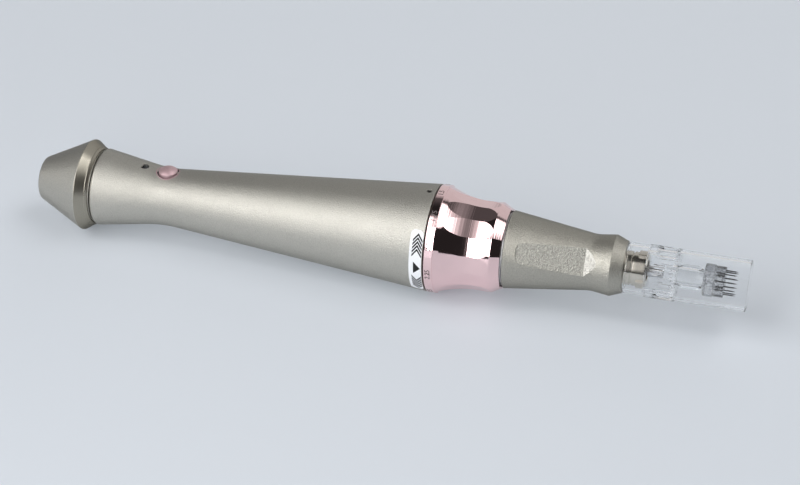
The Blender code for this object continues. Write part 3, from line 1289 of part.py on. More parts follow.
smoked_lens = new_material("smoked_lens", (0.06, 0.06, 0.07), 0.1, 0.0)
clear_plastic = new_material("clear_plastic", (0.90, 0.93, 0.95), 0.05, 0.0, alpha=0.3)
frosted_plastic = new_material("frosted_plastic", (0.82, 0.85, 0.87), 0.35, 0.0, alpha=0.6)

make_pen()
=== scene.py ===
"""Looks of a cordless microneedling pen: fine surfaces, finishes, printed marks, studio light and camera.

Lengths are in metres and the pen's axis points along +X. An angle round the pen is 0 at its top and grows
towards the camera's side, -Y.
"""
import math

import bmesh
import bpy
from mathutils import Matrix, Vector


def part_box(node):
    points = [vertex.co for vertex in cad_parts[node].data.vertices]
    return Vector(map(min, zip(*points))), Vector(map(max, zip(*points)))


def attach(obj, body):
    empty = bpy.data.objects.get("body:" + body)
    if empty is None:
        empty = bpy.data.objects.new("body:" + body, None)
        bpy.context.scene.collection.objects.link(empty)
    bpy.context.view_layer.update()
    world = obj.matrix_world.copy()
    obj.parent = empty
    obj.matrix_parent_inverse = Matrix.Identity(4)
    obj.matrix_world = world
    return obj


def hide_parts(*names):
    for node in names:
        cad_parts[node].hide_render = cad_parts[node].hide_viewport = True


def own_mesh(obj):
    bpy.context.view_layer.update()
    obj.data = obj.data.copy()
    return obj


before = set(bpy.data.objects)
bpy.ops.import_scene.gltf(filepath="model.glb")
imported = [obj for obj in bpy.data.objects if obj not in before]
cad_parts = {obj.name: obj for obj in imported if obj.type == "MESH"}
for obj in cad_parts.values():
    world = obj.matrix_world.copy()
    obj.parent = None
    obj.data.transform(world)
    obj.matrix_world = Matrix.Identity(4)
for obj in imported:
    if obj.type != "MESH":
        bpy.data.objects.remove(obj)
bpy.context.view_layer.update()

MM = 0.001
WELD = 0.0002 * MM

# Facets of the fine surfaces
ROUND_COLUMNS = 256
SMALL_COLUMNS = 96
ROUND_STEPS = 10
LONGEST_ROW = 1.0 * MM
LONGEST_FILLET_SHARE = 0.48
SHARP_ANGLE = math.radians(28)
RING_SHARP_ANGLE = math.radians(5)
THIN_COLUMNS = 16
FINE_EDGE_ROUND = 0.08 * MM


def low(node):
    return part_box(node)[0]


def high(node):
    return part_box(node)[1]


def middle(node):
    return (low(node).x + high(node).x) / 2


AXIS = (low("depth_ring").z + high("depth_ring").z) / 2
TAIL = low("rear_cone_cap").x

# Rear cone cap
CAP_END_RADIUS = 5.3 * MM
CAP_END_ROUND = 0.9 * MM
CAP_CONE_LENGTH = 12.0 * MM
CAP_RIM_RADIUS = 11.45 * MM
CAP_RIM_ROUND = 0.3 * MM
CAP_FACE_LENGTH = 2.1 * MM
CAP_STEP_RADIUS = 9.93 * MM
CAP_STEP_LENGTH = 0.16 * MM
CAP_FRONT_RADIUS = 9.4 * MM
CAP_FRONT_LENGTH = 0.52 * MM
CAP_NECK_RADIUS = 9.1 * MM
CAP_NECK_LENGTH = 0.22 * MM
CAP_SPIGOT_RADIUS = 7.2 * MM
CAP_BORE_RADIUS = 5.9 * MM

# Main housing
HOUSING_REAR = low("main_housing").x
HOUSING_FRONT = high("main_housing").x
HOUSING_REAR_RADIUS = 9.75 * MM
HOUSING_REAR_ROUND = 0.7 * MM
HOUSING_WAIST_RADIUS = 7.02 * MM
HOUSING_WAIST_DISTANCE = 16.9 * MM
HOUSING_WAIST_ROUND = 30.0 * MM
HOUSING_FRONT_RADIUS = 13.15 * MM
HOUSING_EDGE_ROUND = 0.1 * MM
HOUSING_WALL = 1.1 * MM
HOUSING_FRONT_BORE = 11.6 * MM
HOUSING_BORE_LENGTH = 9.0 * MM
HOUSING_SPIGOT_BORE = 7.7 * MM
HOUSING_SPIGOT_LENGTH = 6.0 * MM
HOUSING_BORE_SIDE = 6.0 * MM

# Button, bezel, light and grub screw
BUTTON_X = middle("power_button")
BUTTON_RADIUS = 2.36 * MM
BUTTON_RIM_DROP = 0.6 * MM
BUTTON_CROWN = 0.92 * MM
BUTTON_EDGE_ROUND = 0.18 * MM
BEZEL_WALL = 0.24 * MM
BEZEL_GAP = 0.38 * MM
# A black ring sunk in the gap round the button stands in for the shade in that gap.
GAP_SHADE_CLEARANCE = 0.04 * MM
GAP_SHADE_DROP = 0.3 * MM
BEZEL_PROUD = 0.05 * MM
BEZEL_DEPTH = 1.4 * MM
LED_X = middle("status_led")
LED_RADIUS = 0.94 * MM
LED_CROWN = 0.3 * MM
HOLE_GAP = 0.16 * MM
HOLE_CHAMFER = 0.07 * MM
SCREW_X = middle("frame_screw")
SCREW_RADIUS = 0.5 * MM
HEX_RADIUS = 0.28 * MM
HEX_DEPTH = 0.6 * MM
HEX_SIDES = 6

# Depth dial
RING_REAR = low("depth_ring").x
RING_FRONT = high("depth_ring").x
RING_RADIUS = 13.235 * MM
RING_BAND_LENGTH = 2.1 * MM
RING_BAND_STEP = 0.27 * MM
RING_EDGE_ROUND = 0.15 * MM
RING_FLANK_LENGTH = 9.65 * MM
RING_LAND_RADIUS = 10.97 * MM
RING_COLLAR_LENGTH = 2.25 * MM
RING_FRONT_RADIUS = 9.75 * MM
RING_BORE_RADIUS = 9.3 * MM
RING_ROW = 0.16 * MM
SCALLOP_COUNT = 15
SCALLOP_FIRST_ANGLE = math.radians(14.4)
SCALLOP_DEPTH = 0.27 * MM
SCALLOP_DISTANCE = 11.55 * MM
SCALLOP_RADIUS = 20.0 * MM
SCALLOP_FRONT_RADIUS = 26.0 * MM
SCALLOP_COLUMNS = (9, 3)

# Figures etched on the dial's band
FIGURES = ("0", "0.25", "0.5", "0.75", "1.0", "1.25", "1.5", "1.75", "2.0", "2.25", "2.5")
FIGURE_PITCH = math.tau / len(FIGURES)
LAST_FIGURE_ANGLE = math.radians(132.3)
FIGURE_SIZE = 1.75 * MM
FIGURE_STROKE = 0.02 * MM
FIGURE_LIFT = 0.012 * MM
FIGURE_FINENESS = 4

# Printed index strip behind the dial
STRIP_ANGLE = math.radians(92.3)
STRIP_REAR_GAP = 3.3 * MM
STRIP_FRONT_GAP = 0.14 * MM
STRIP_HALF_LENGTH = 9.4 * MM
STRIP_CORNER = 1.2 * MM
STRIP_LIFT = 0.02 * MM
MARK_LIFT = 0.03 * MM
ARROW_HALF_WIDTH = 1.7 * MM
ARROW_DEPTH = 1.75 * MM
ARROW_TIP = 1.32 * MM
MARK_SHIFT = 0.3 * MM
CHEVRON_COUNT = 5
CHEVRON_FIRST = 8.6 * MM
CHEVRON_PITCH = 0.93 * MM
CHEVRON_HALF_WIDTH = 1.2 * MM
CHEVRON_DROP = 1.6 * MM
CHEVRON_STROKE = 0.6 * MM
WRAP_STEP = 0.25 * MM

# Nozzle grip
NOZZLE_REAR = low("nozzle_grip").x
NOZZLE_FRONT = high("nozzle_grip").x
NOZZLE_REAR_RADIUS = 9.5 * MM
NOZZLE_EDGE_ROUND = 0.03 * MM
NOZZLE_WAIST_RADIUS = 6.78 * MM
NOZZLE_WAIST_DISTANCE = 20.6 * MM
NOZZLE_WAIST_ROUND = 8.0 * MM
NOZZLE_LIP_RADIUS = 7.4 * MM
NOZZLE_LIP_DISTANCE = 25.3 * MM
NOZZLE_LIP_ROUND = 0.25 * MM
NOZZLE_FACE_RADIUS = 6.25 * MM
NOZZLE_SOCKET_RADIUS = 8.6 * MM
NOZZLE_SOCKET_LENGTH = 3.0 * MM
NOZZLE_CARRIER_RADIUS = 7.7 * MM
NOZZLE_THROAT_RADIUS = 5.2 * MM
NOZZLE_TAPER_GAP = 2.3 * MM
NOZZLE_SEAT_GAP = 1.8 * MM
NOZZLE_BORE_RADIUS = 4.4 * MM
NOZZLE_ROW = 0.2 * MM
POCKET_COUNT = 3
POCKET_FIRST_ANGLE = math.radians(60)
POCKET_START = 2.8 * MM
POCKET_LENGTH = 16.4 * MM
POCKET_START_DEPTH = 0.3 * MM
POCKET_END_DEPTH = 0.87 * MM
POCKET_SCOOP_LENGTH = 2.8 * MM
SCOOP_RISE_SHARE = 0.43
POCKET_WIDTH = 8.4 * MM
POCKET_ROUND = 4.0 * MM
POCKET_LEAST_RADIUS = NOZZLE_BORE_RADIUS * 1.1
POCKET_LEAST_DEPTH = 0.03 * MM
POCKET_COLUMNS = (22, 20)

# Bayonet nose
NOSE_REAR = low("bayonet_nose").x
NOSE_FRONT = NOZZLE_FRONT + 5.35 * MM
NOSE_RADIUS = 4.1 * MM
NOSE_FLANGE_RADIUS = 4.9 * MM
NOSE_FLANGE_LENGTH = 1.5 * MM
NOSE_BORE_RADIUS = 2.6 * MM
NOSE_GROOVE_DISTANCE = 1.6 * MM
NOSE_GROOVE_LENGTH = 0.35 * MM
NOSE_GROOVE_DEPTH = 0.3 * MM
NOSE_EDGE_ROUND = 0.25 * MM
LUG_RADIUS = 4.55 * MM
LUG_DISTANCE = 3.1 * MM
LUG_LENGTH = 2.0 * MM
LUG_WIDTH = 6.6 * MM
LUG_ANGLE = math.radians(-34)
LUG_SLOT_ANGLE = math.radians(56)
LUG_SLOT_GAP = 0.3 * MM

# Needle cartridge
SHELL_REAR = low("cartridge_shell").x
SHELL_FRONT = high("cartridge_shell").x
SHELL_RADIUS = 6.15 * MM
SHELL_WALL = 0.75 * MM
SKIRT_LENGTH = 4.9 * MM
SKIRT_WALL = 0.85 * MM
BAND_RADIUS = 6.35 * MM
BAND_LENGTH = 2.0 * MM
COLLAR_LENGTH = 5.4 * MM
COLLAR_BORE_RADIUS = 4.9 * MM
WEB_BORE_RADIUS = 4.4 * MM
BULKHEAD = 0.9 * MM
NECK_LENGTH = 5.9 * MM
NECK_BORE_RADIUS = 1.8 * MM
NECK_WALL = 0.45 * MM
NECK_BULGE_RADIUS = 2.9 * MM
NECK_BULGE_ROUND = 2.0 * MM
RIB_COUNT = 24
RIB_COLUMNS = 12
RIB_GROOVE_DEPTH = 0.28 * MM
RIB_GROOVE_SHARE = 0.48
RIB_SLOPE_SHARE = 0.24
RIB_MARGIN = 0.4 * MM
SHELL_EDGE_ROUND = 0.25 * MM
RIM_ROUND = 0.12 * MM

# Needle carrier and block
STEM_REAR = low("needle_carrier").x
DISC_FRONT = high("needle_carrier").x
STEM_RADIUS = 1.5 * MM
DISC_RADIUS = 3.9 * MM
DISC_LENGTH = 2.4 * MM
DISC_ROUND = 0.25 * MM
BLOCK_REAR = low("needle_block").x
NEEDLE_TIP = high("needle_block").x
BLOCK_RADIUS = 3.7 * MM
BLOCK_LENGTH = 2.4 * MM
NEEDLE_RADIUS = 0.15 * MM
NEEDLE_TIP_LENGTH = 0.9 * MM
NEEDLE_CIRCLES = ((2.85 * MM, 9, math.radians(16.1)), (1.15 * MM, 3, math.radians(-3.9)))
NEEDLE_ROOT = 0.2 * MM

# Return spring
SPRING_RADIUS = 3.2 * MM
SPRING_WIRE_RADIUS = 0.25 * MM
SPRING_TURNS = 4
SPRING_TURN_STEPS = 48

# Finishes; scales are in grains or lines a metre
METAL_EDGE = 0.35
NOISE_LOW = 0.3
NOISE_HIGH = 0.7
NOISE_DETAIL = 3.0
GRAINS_A_DRIFT = 14
HAZE_SCALE = 260
HAZE_SHADE = 0.97
MOULDED_DRIFT = 0.03
WAVE_DETAIL = 2.0
SPECK_DETAIL = 1.0
SPECKS_A_GRAIN = 0.8
LATHE_LINES = 2800
LATHE_LINE_DEPTH = 0.022 * MM
LATHE_STRETCH = (1, 0.01, 0.01)

# Camera
CAMERA_AIM = Vector((3.84 * MM, 0, 10.25 * MM))
CAMERA_AZIMUTH = math.radians(14.915)
CAMERA_ELEVATION = math.radians(32.976)
CAMERA_ROLL = math.radians(0.61)
CAMERA_DISTANCE = 524.9 * MM
CAMERA_LENS = 96.75
SENSOR_WIDTH = 36

# Studio; its levels stand at turns round the pen, in degrees, and reaches along it
TURN_RANGE = (-180, 180)
REACH_RANGE = (-1, 1)
FLOOR_SIZE = 3.0
FLOOR_TOUCH_X = 13.2 * MM
FLOOR_SLOPE = math.radians(1.146)
FLOOR_COLOUR = (0.745, 0.785, 0.84)
FLOOR_GLOW = 0.28
FLOOR_ROUGHNESS = 0.6
SKY_STRENGTH = 3.0
SKY_LEVELS = ((-180, 0.22), (-4, 0.22), (-1, 0.006), (106, 0.006), (117, 0.025), (180, 0.04))
BACKDROP_COLOUR = (0.60, 0.65, 0.71)
BACKDROP_TURN = ((125, 0), (131, 0.175), (180, 0.175))
BACKDROP_REACH = ((-0.34, 0), (-0.23, 1), (1, 1))
LEFT_BOX_TURN = ((9, 0), (15, 0.4), (22, 0.7), (29, 1), (72, 1), (80, 0))
LEFT_BOX_REACH = ((-0.86, 0), (-0.74, 1), (-0.27, 1), (-0.17, 0.3), (-0.03, 0.08), (0.05, 0))
RIGHT_BOX_TURN = ((60, 0), (64, 1), (116, 1), (120, 0))
RIGHT_BOX_REACH = ((-0.04, 0), (0.02, 0.04), (0.14, 0.1), (0.32, 0.3), (0.42, 1), (0.66, 1), (0.73, 0))
LAMP_LEVEL = 6.5
LAMP_X = -45 * MM
LAMP_DISTANCE = 410 * MM
LAMP_WIDTH = 80 * MM
LAMP_HEIGHT = 300 * MM
LAMP_TURN = math.radians(27)


def along_pen(height, radius, angle):
    """A point round the pen's axis; height is its X."""
    return Vector((height, -radius * math.sin(angle), AXIS + radius * math.cos(angle)))


def upright(x):
    """Places points round a vertical axis at X = x on the pen's middle plane; height is their Z."""
    def place(height, radius, angle):
        return Vector((x + radius * math.cos(angle), radius * math.sin(angle), height))
    return place


def rounded(corners, steps=ROUND_STEPS):
    """Corners of (height, radius), or with a fillet, as a profile of (height, radius) with arcs."""
    profile = []
    for index, (height, radius, *fillet) in enumerate(corners):
        corner = Vector((height, radius))
        if not fillet:
            profile.append(tuple(corner))
            continue
        before = Vector(corners[index - 1][:2]) - corner
        after = Vector(corners[(index + 1) % len(corners)][:2]) - corner
        half = before.angle(after) / 2
        reach = min(fillet[0] / math.tan(half), min(before.length, after.length) * LONGEST_FILLET_SHARE)
        arc = reach * math.tan(half)
        centre = corner + (before.normalized() + after.normalized()).normalized() * (arc / math.sin(half))
        start = corner + before.normalized() * reach - centre
        end = corner + after.normalized() * reach - centre
        sweep = math.pi - half * 2
        for step in range(steps + 1):
            share = step / steps
            point = start * math.sin((1 - share) * sweep) + end * math.sin(share * sweep)
            profile.append(tuple(centre + point / math.sin(sweep)))
    return profile


def spaced(profile, longest=LONGEST_ROW):
    """The profile with more points, so that no two neighbours lie further apart than the longest row."""
    points = [profile[0]]
    for start, end in zip(profile, profile[1:]):
        start, end = Vector(start), Vector(end)
        count = max(1, math.ceil((end - start).length / longest))
        points += [tuple(start.lerp(end, step / count)) for step in range(1, count + 1)]
    return points


def angles(columns):
    return [math.tau * index / columns for index in range(columns)]


def skin(name, rows, closed=True, place=along_pen, sharp=SHARP_ANGLE):
    """A smooth mesh over rows of (height, radius, angle); a closed one joins its last row to its first."""
    shape = bmesh.new()
    made = [[shape.verts.new(place(*point)) for point in row] for row in rows]
    followers = made[1:] + made[:1] if closed else made[1:]
    for near, far in zip(made, followers):
        for index in range(len(near)):
            after = (index + 1) % len(near)
            shape.faces.new((near[index], near[after], far[after], far[index]))
    bmesh.ops.remove_doubles(shape, verts=shape.verts, dist=WELD)
    bmesh.ops.dissolve_degenerate(shape, edges=shape.edges, dist=WELD)
    bmesh.ops.recalc_face_normals(shape, faces=shape.faces)
    return placed(name, shape, sharp)


def new_object(name, data):
    thing = bpy.data.objects.new(name, data)
    bpy.context.scene.collection.objects.link(thing)
    return thing


def placed(name, shape, sharp=SHARP_ANGLE):
    """The shape as an object; the shape is used up."""
    mesh = bpy.data.meshes.new(name)
    shape.to_mesh(mesh)
    shape.free()
    mesh.shade_smooth()
    mesh.set_sharp_from_angle(angle=sharp)
    return new_object(name, mesh)


def turned(name, corners, columns=ROUND_COLUMNS, closed=True, place=along_pen):
    profile = spaced(rounded(corners))
    rows = [[(height, radius, angle) for angle in angles(columns)] for height, radius in profile]
    return skin(name, rows, closed, place)


def pin(name, x, corners):
    """A small turned piece on a vertical axis at X = x."""
    return turned(name, corners, SMALL_COLUMNS, False, upright(x))


def final_mesh(thing):
    """The mesh that a text, or a piece with its modifiers, comes to."""
    bpy.context.view_layer.update()
    evaluated = thing.evaluated_get(bpy.context.evaluated_depsgraph_get())
    return bpy.data.meshes.new_from_object(evaluated)


def carve(piece, tool, operation="DIFFERENCE"):
    """The piece cut by, or joined to, another mesh, which is used up."""
    change = piece.modifiers.new("carve", "BOOLEAN")
    change.operation = operation
    change.object = tool
    mesh = final_mesh(piece)
    piece.modifiers.clear()
    piece.data = mesh
    bpy.data.objects.remove(tool)
    mesh.set_sharp_from_angle(angle=SHARP_ANGLE)


def dress(piece, finish, body, slot, *nodes):
    """Gives the piece its finish and its body, and hides the CAD nodes that it stands for; the record's
    slot is not used.
    """
    piece.data.materials.clear()
    piece.data.materials.append(finish)
    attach(piece, body)
    if nodes:
        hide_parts(*nodes)


def add_finish(piece, finish, chosen):
    """A further finish for the faces that are chosen by the X and radius of their middles."""
    piece.data.materials.append(finish)
    index = len(piece.data.materials) - 1
    for face in piece.data.polygons:
        centre = face.center
        if chosen(centre.x, math.hypot(centre.y, centre.z - AXIS)):
            face.material_index = index


def feed(tree, socket, value):
    """Gives the socket a value, or the link from another node's output."""
    if isinstance(value, bpy.types.NodeSocket):
        tree.links.new(value, socket)
    else:
        socket.default_value = value


def feed_all(tree, node, **values):
    """Feeds the node's inputs by their names, with _ for a space."""
    for name, value in values.items():
        feed(tree, node.inputs[name.replace("_", " ")], value)
    return node


def add_node(tree, kind, **values):
    return feed_all(tree, tree.nodes.new("ShaderNode" + kind), **values)


def new_material(name, colour, roughness, metallic):
    material = bpy.data.materials.new(name)
    material.use_nodes = True
    tree = material.node_tree
    shader = tree.nodes["Principled BSDF"]
    feed_all(tree, shader, Base_Color=(*colour, 1), Roughness=roughness, Metallic=metallic)
    return material, tree, shader


def noise(tree, scale, stretch=(1, 1, 1), detail=NOISE_DETAIL):
    """Noise over the piece's own coordinates, in metres, stretched along some axes."""
    place = add_node(tree, "TexCoord")
    mapping = add_node(tree, "Mapping", Vector=place.outputs["Object"], Scale=stretch)
    texture = add_node(tree, "TexNoise", Vector=mapping.outputs["Vector"], Scale=scale, Detail=detail)
    return texture.outputs["Fac"]


def spread(tree, source, lowest, highest):
    """The noise mapped to a range of values."""
    ranged = add_node(tree, "MapRange", Value=source, From_Min=NOISE_LOW, From_Max=NOISE_HIGH,
                      To_Min=lowest, To_Max=highest)
    return ranged.outputs["Result"]


def tinted(tree, source, first, second):
    """A colour between two, as the noise goes."""
    ramp = add_node(tree, "ValToRGB", Fac=source)
    marks = ((NOISE_LOW, first), (NOISE_HIGH, second))
    for mark, (position, colour) in zip(ramp.color_ramp.elements, marks):
        mark.position = position
        mark.color = (*colour, 1)
    return ramp.outputs["Color"]


def bumped(tree, shader, source, strength, depth):
    """A bump that follows the source, its depth in metres."""
    relief = add_node(tree, "Bump", Strength=strength, Distance=depth, Height=source)
    feed_all(tree, shader, Normal=relief.outputs["Normal"])


def grained(name, colour, roughness, metallic, grain, bump, vary=0.05, shade=0.08, stretch=(1, 1, 1),
            edge=1.0):
    """A finish with a fine grain in its colour and surface, and a roughness that drifts slowly."""
    material, tree, shader = new_material(name, colour, roughness, metallic)
    drift = noise(tree, grain / GRAINS_A_DRIFT, stretch)
    fine = noise(tree, grain, stretch)
    darker = [value * (1 - shade) for value in colour]
    lighter = [min(1.0, value * (1 + shade)) for value in colour]
    feed_all(tree, shader, Base_Color=tinted(tree, fine, darker, lighter),
             Specular_Tint=(edge, edge, edge, 1),
             Roughness=spread(tree, drift, roughness - vary, roughness + vary))
    bumped(tree, shader, fine, bump, 1 / grain)
    return material


def polished(name, colour, roughness, haze, lines):
    """A mirror finish with a little haze that drifts over it, and lathe lines round the pen's axis."""
    material, tree, shader = new_material(name, colour, roughness, 1.0)
    drift = noise(tree, HAZE_SCALE)
    darker = [value * HAZE_SHADE for value in colour]
    feed_all(tree, shader, Roughness=spread(tree, drift, roughness, roughness + haze),
             Base_Color=tinted(tree, drift, darker, colour))
    bumped(tree, shader, noise(tree, LATHE_LINES, LATHE_STRETCH), lines, LATHE_LINE_DEPTH)
    return material


def clear_moulded(name, colour, roughness, index, frost=0.0, grain=350, bump=0.05, depth=0.1 * MM,
                  speck=None):
    """A clear plastic with soft moulding waves, or with grains and dark specks."""
    material, tree, shader = new_material(name, colour, roughness, 0.0)
    drift = noise(tree, grain, detail=WAVE_DETAIL)
    roughest = roughness + MOULDED_DRIFT + frost
    feed_all(tree, shader, Transmission_Weight=1.0, IOR=index,
             Roughness=spread(tree, drift, roughness, roughest))
    if speck:
        specks = noise(tree, grain * SPECKS_A_GRAIN, detail=SPECK_DETAIL)
        feed_all(tree, shader, Base_Color=tinted(tree, specks, speck, colour))
    bumped(tree, shader, drift, bump, depth)
    return material


def housing_profile():
    """The housing's outer side from its front edge to its rear edge."""
    return [
        (HOUSING_FRONT, HOUSING_FRONT_RADIUS, HOUSING_EDGE_ROUND),
        (HOUSING_REAR + HOUSING_WAIST_DISTANCE, HOUSING_WAIST_RADIUS, HOUSING_WAIST_ROUND),
        (HOUSING_REAR, HOUSING_REAR_RADIUS, HOUSING_REAR_ROUND),
    ]


def radius_on(profile, x):
    """The radius, or height, of a rounded profile at X = x; the profile runs from front to rear."""
    for (front, front_radius), (rear, rear_radius) in zip(profile, profile[1:]):
        if rear <= x <= front:
            share = (x - rear) / (front - rear) if front > rear else 0
            return rear_radius + (front_radius - rear_radius) * share
    raise ValueError("X is not on the profile")


def body_radius(x):
    """The housing's outer radius at X = x."""
    front, rear = [(end, HOUSING_BORE_SIDE) for end in (HOUSING_FRONT, HOUSING_REAR)]
    return radius_on(rounded([front, *housing_profile(), rear])[1:-1], x)


def make_cap(finish, turned_shaded_finish):
    rim = TAIL + CAP_CONE_LENGTH
    front = high("rear_cone_cap").x
    step_rear = rim + CAP_FACE_LENGTH
    neck_rear = step_rear + CAP_STEP_LENGTH + CAP_FRONT_LENGTH
    cap = turned("fine_cone_cap", [
        (rim - CAP_FACE_LENGTH, 0),
        (rim, CAP_BORE_RADIUS),
        (front, CAP_BORE_RADIUS),
        (front, CAP_SPIGOT_RADIUS, HOUSING_EDGE_ROUND),
        (neck_rear + CAP_NECK_LENGTH, CAP_SPIGOT_RADIUS),
        (neck_rear + CAP_NECK_LENGTH, CAP_NECK_RADIUS),
        (neck_rear, CAP_NECK_RADIUS),
        (neck_rear, CAP_FRONT_RADIUS, FINE_EDGE_ROUND),
        (step_rear + CAP_STEP_LENGTH, CAP_STEP_RADIUS, FINE_EDGE_ROUND),
        (step_rear, CAP_STEP_RADIUS, FINE_EDGE_ROUND),
        (rim, CAP_RIM_RADIUS, CAP_RIM_ROUND),
        (TAIL, CAP_END_RADIUS, CAP_END_ROUND),
        (TAIL, 0),
    ], closed=False)
    dress(cap, finish, "body", "champagne_aluminium", "rear_cone_cap")
    # The cap's front faces take the turned finish; its colour, darker than the satin, is painted shade.
    add_finish(cap, turned_shaded_finish, lambda x, radius: rim < x < neck_rear and radius > CAP_SPIGOT_RADIUS)


def hole_tool(x, radius):
    """A round cutter for a hole in the top of the housing, with a small chamfer at the surface."""
    surface = AXIS + body_radius(x)
    return pin("hole", x, [
        (AXIS, 0),
        (AXIS, radius),
        (surface - HOLE_CHAMFER, radius),
        (surface + HOLE_CHAMFER, radius + HOLE_CHAMFER * 2),
        (surface + HOLE_CHAMFER, 0),
    ])


def make_housing(finish):
    bore_rear = HOUSING_FRONT - HOUSING_BORE_LENGTH
    housing = turned("fine_housing", [
        *housing_profile(),
        (HOUSING_REAR, HOUSING_SPIGOT_BORE),
        (HOUSING_REAR + HOUSING_SPIGOT_LENGTH, HOUSING_SPIGOT_BORE),
        (HOUSING_REAR + HOUSING_WAIST_DISTANCE, HOUSING_WAIST_RADIUS - HOUSING_WALL),
        (bore_rear, body_radius(bore_rear) - HOUSING_WALL),
        (bore_rear, HOUSING_FRONT_BORE),
        (HOUSING_FRONT, HOUSING_FRONT_BORE),
    ])
    holes = ((BUTTON_X, BUTTON_RADIUS + BEZEL_GAP + BEZEL_WALL), (LED_X, LED_RADIUS + HOLE_GAP),
             (SCREW_X, SCREW_RADIUS + HOLE_GAP))
    for x, radius in holes:
        carve(housing, hole_tool(x, radius))
    dress(housing, finish, "body", "champagne_aluminium", "main_housing")


def sag(radius, away):
    """How far an arc bends away at a distance from its crown."""
    return radius - math.sqrt(max(0, radius ** 2 - away ** 2))


def make_button(finish):
    rim = high("power_button").z - BUTTON_RIM_DROP
    bottom = low("power_button").z
    crown = []
    sphere = (BUTTON_RADIUS ** 2 + BUTTON_CROWN ** 2) / (BUTTON_CROWN * 2)
    for step in range(ROUND_STEPS):
        across = BUTTON_RADIUS * step / ROUND_STEPS
        crown.append((rim + BUTTON_CROWN - sag(sphere, across), across))
    button = pin("fine_button", BUTTON_X, [
        *crown,
        (rim, BUTTON_RADIUS, BUTTON_EDGE_ROUND),
        (bottom, BUTTON_RADIUS),
        (bottom, 0),
    ])
    dress(button, finish, "button", "rose_metal", "power_button")


def make_saddle(name, inner, outer, proud):
    """A thin ring round the button whose top follows the round of the housing."""
    loop = [(inner, -BEZEL_DEPTH), (outer, -BEZEL_DEPTH)]
    for step in range(ROUND_STEPS + 1):
        turn = math.pi * step / ROUND_STEPS
        radius = (inner + outer) / 2 + math.cos(turn) * (outer - inner) / 2
        loop.append((radius, proud + BEZEL_PROUD * math.sin(turn)))
    rows = []
    for radius, lift in loop:
        row = []
        for angle in angles(SMALL_COLUMNS):
            x = BUTTON_X + radius * math.cos(angle)
            across = radius * math.sin(angle)
            row.append((AXIS + math.sqrt(body_radius(x) ** 2 - across ** 2) + lift, radius, angle))
        rows.append(row)
    return skin(name, rows, True, upright(BUTTON_X))


def make_bezel(finish, gap_shade_finish):
    inner = BUTTON_RADIUS + BEZEL_GAP
    bezel = make_saddle("fine_bezel", inner, inner + BEZEL_WALL, 0)
    dress(bezel, finish, "body", "rose_metal", "button_bezel")
    # A black ring sunk in the gap round the button: painted shade in the gap.
    gap_shade = make_saddle("button_gap_shade", BUTTON_RADIUS + GAP_SHADE_CLEARANCE, inner, -GAP_SHADE_DROP)
    dress(gap_shade, gap_shade_finish, "body", "black_rubber")


def make_led(finish):
    top = AXIS + body_radius(LED_X) - LED_CROWN
    bottom = low("status_led").z
    led = pin("fine_led", LED_X, [
        (top + LED_CROWN / 2, 0),
        (top, LED_RADIUS, LED_CROWN / 2),
        (bottom, LED_RADIUS),
        (bottom, 0),
    ])
    dress(led, finish, "body", "smoked_lens", "status_led")


def make_grub_screw(finish):
    top = high("frame_screw").z
    bottom = low("frame_screw").z
    screw = pin("fine_grub_screw", SCREW_X, [
        (top, 0),
        (top, SCREW_RADIUS, FINE_EDGE_ROUND),
        (bottom, SCREW_RADIUS),
        (bottom, 0),
    ])
    socket = turned("hex_socket", [
        (top + HEX_DEPTH, 0),
        (top + HEX_DEPTH, HEX_RADIUS),
        (top - HEX_DEPTH, HEX_RADIUS),
        (top - HEX_DEPTH, 0),
    ], HEX_SIDES, False, upright(SCREW_X))
    carve(screw, socket)
    dress(screw, finish, "body", "bright_steel", "frame_screw")


def faceted_row(x, radius, floor, half_pitch, half_width, first, count, columns):
    """A row round a turned surface, with flat facets at height floor whose edges fall on columns."""
    floor_columns, land_columns = columns
    floor = min(floor, radius)
    edge = min(math.acos(floor / radius), half_pitch)
    wall = min(half_width / floor, math.tan(edge)) if half_width is not None else math.tan(edge)
    low_edge = math.atan(wall)
    high_edge = min(math.asin(min(1.0, wall * floor / radius)), half_pitch)
    side = [(floor / math.cos(low_edge * step / floor_columns), low_edge * step / floor_columns)
            for step in range(floor_columns + 1)]
    side += [(radius, high_edge + (half_pitch - high_edge) * step / land_columns)
             for step in range(land_columns)]
    if edge >= half_pitch:
        side = side[:floor_columns + 1] + [side[floor_columns]] * land_columns
    row = []
    for index in range(count):
        centre = first + half_pitch * 2 * index
        row += [(x, reach, centre - turn) for reach, turn in reversed(side[1:])]
        row += [(x, reach, centre + turn) for reach, turn in side]
    return row


def ring_land(x):
    """The dial's flank and land, without the scallops."""
    lowest = RING_REAR + RING_BAND_LENGTH + RING_FLANK_LENGTH
    rise = RING_RADIUS - RING_BAND_STEP - RING_LAND_RADIUS
    arc = (RING_FLANK_LENGTH ** 2 + rise ** 2) / (rise * 2)
    away = lowest - x
    return RING_LAND_RADIUS + sag(arc, max(0, away))


def scallop_floor(x):
    away = x - (RING_REAR + SCALLOP_DISTANCE)
    arc = SCALLOP_RADIUS if away < 0 else SCALLOP_FRONT_RADIUS
    return RING_LAND_RADIUS - SCALLOP_DEPTH + sag(arc, away)


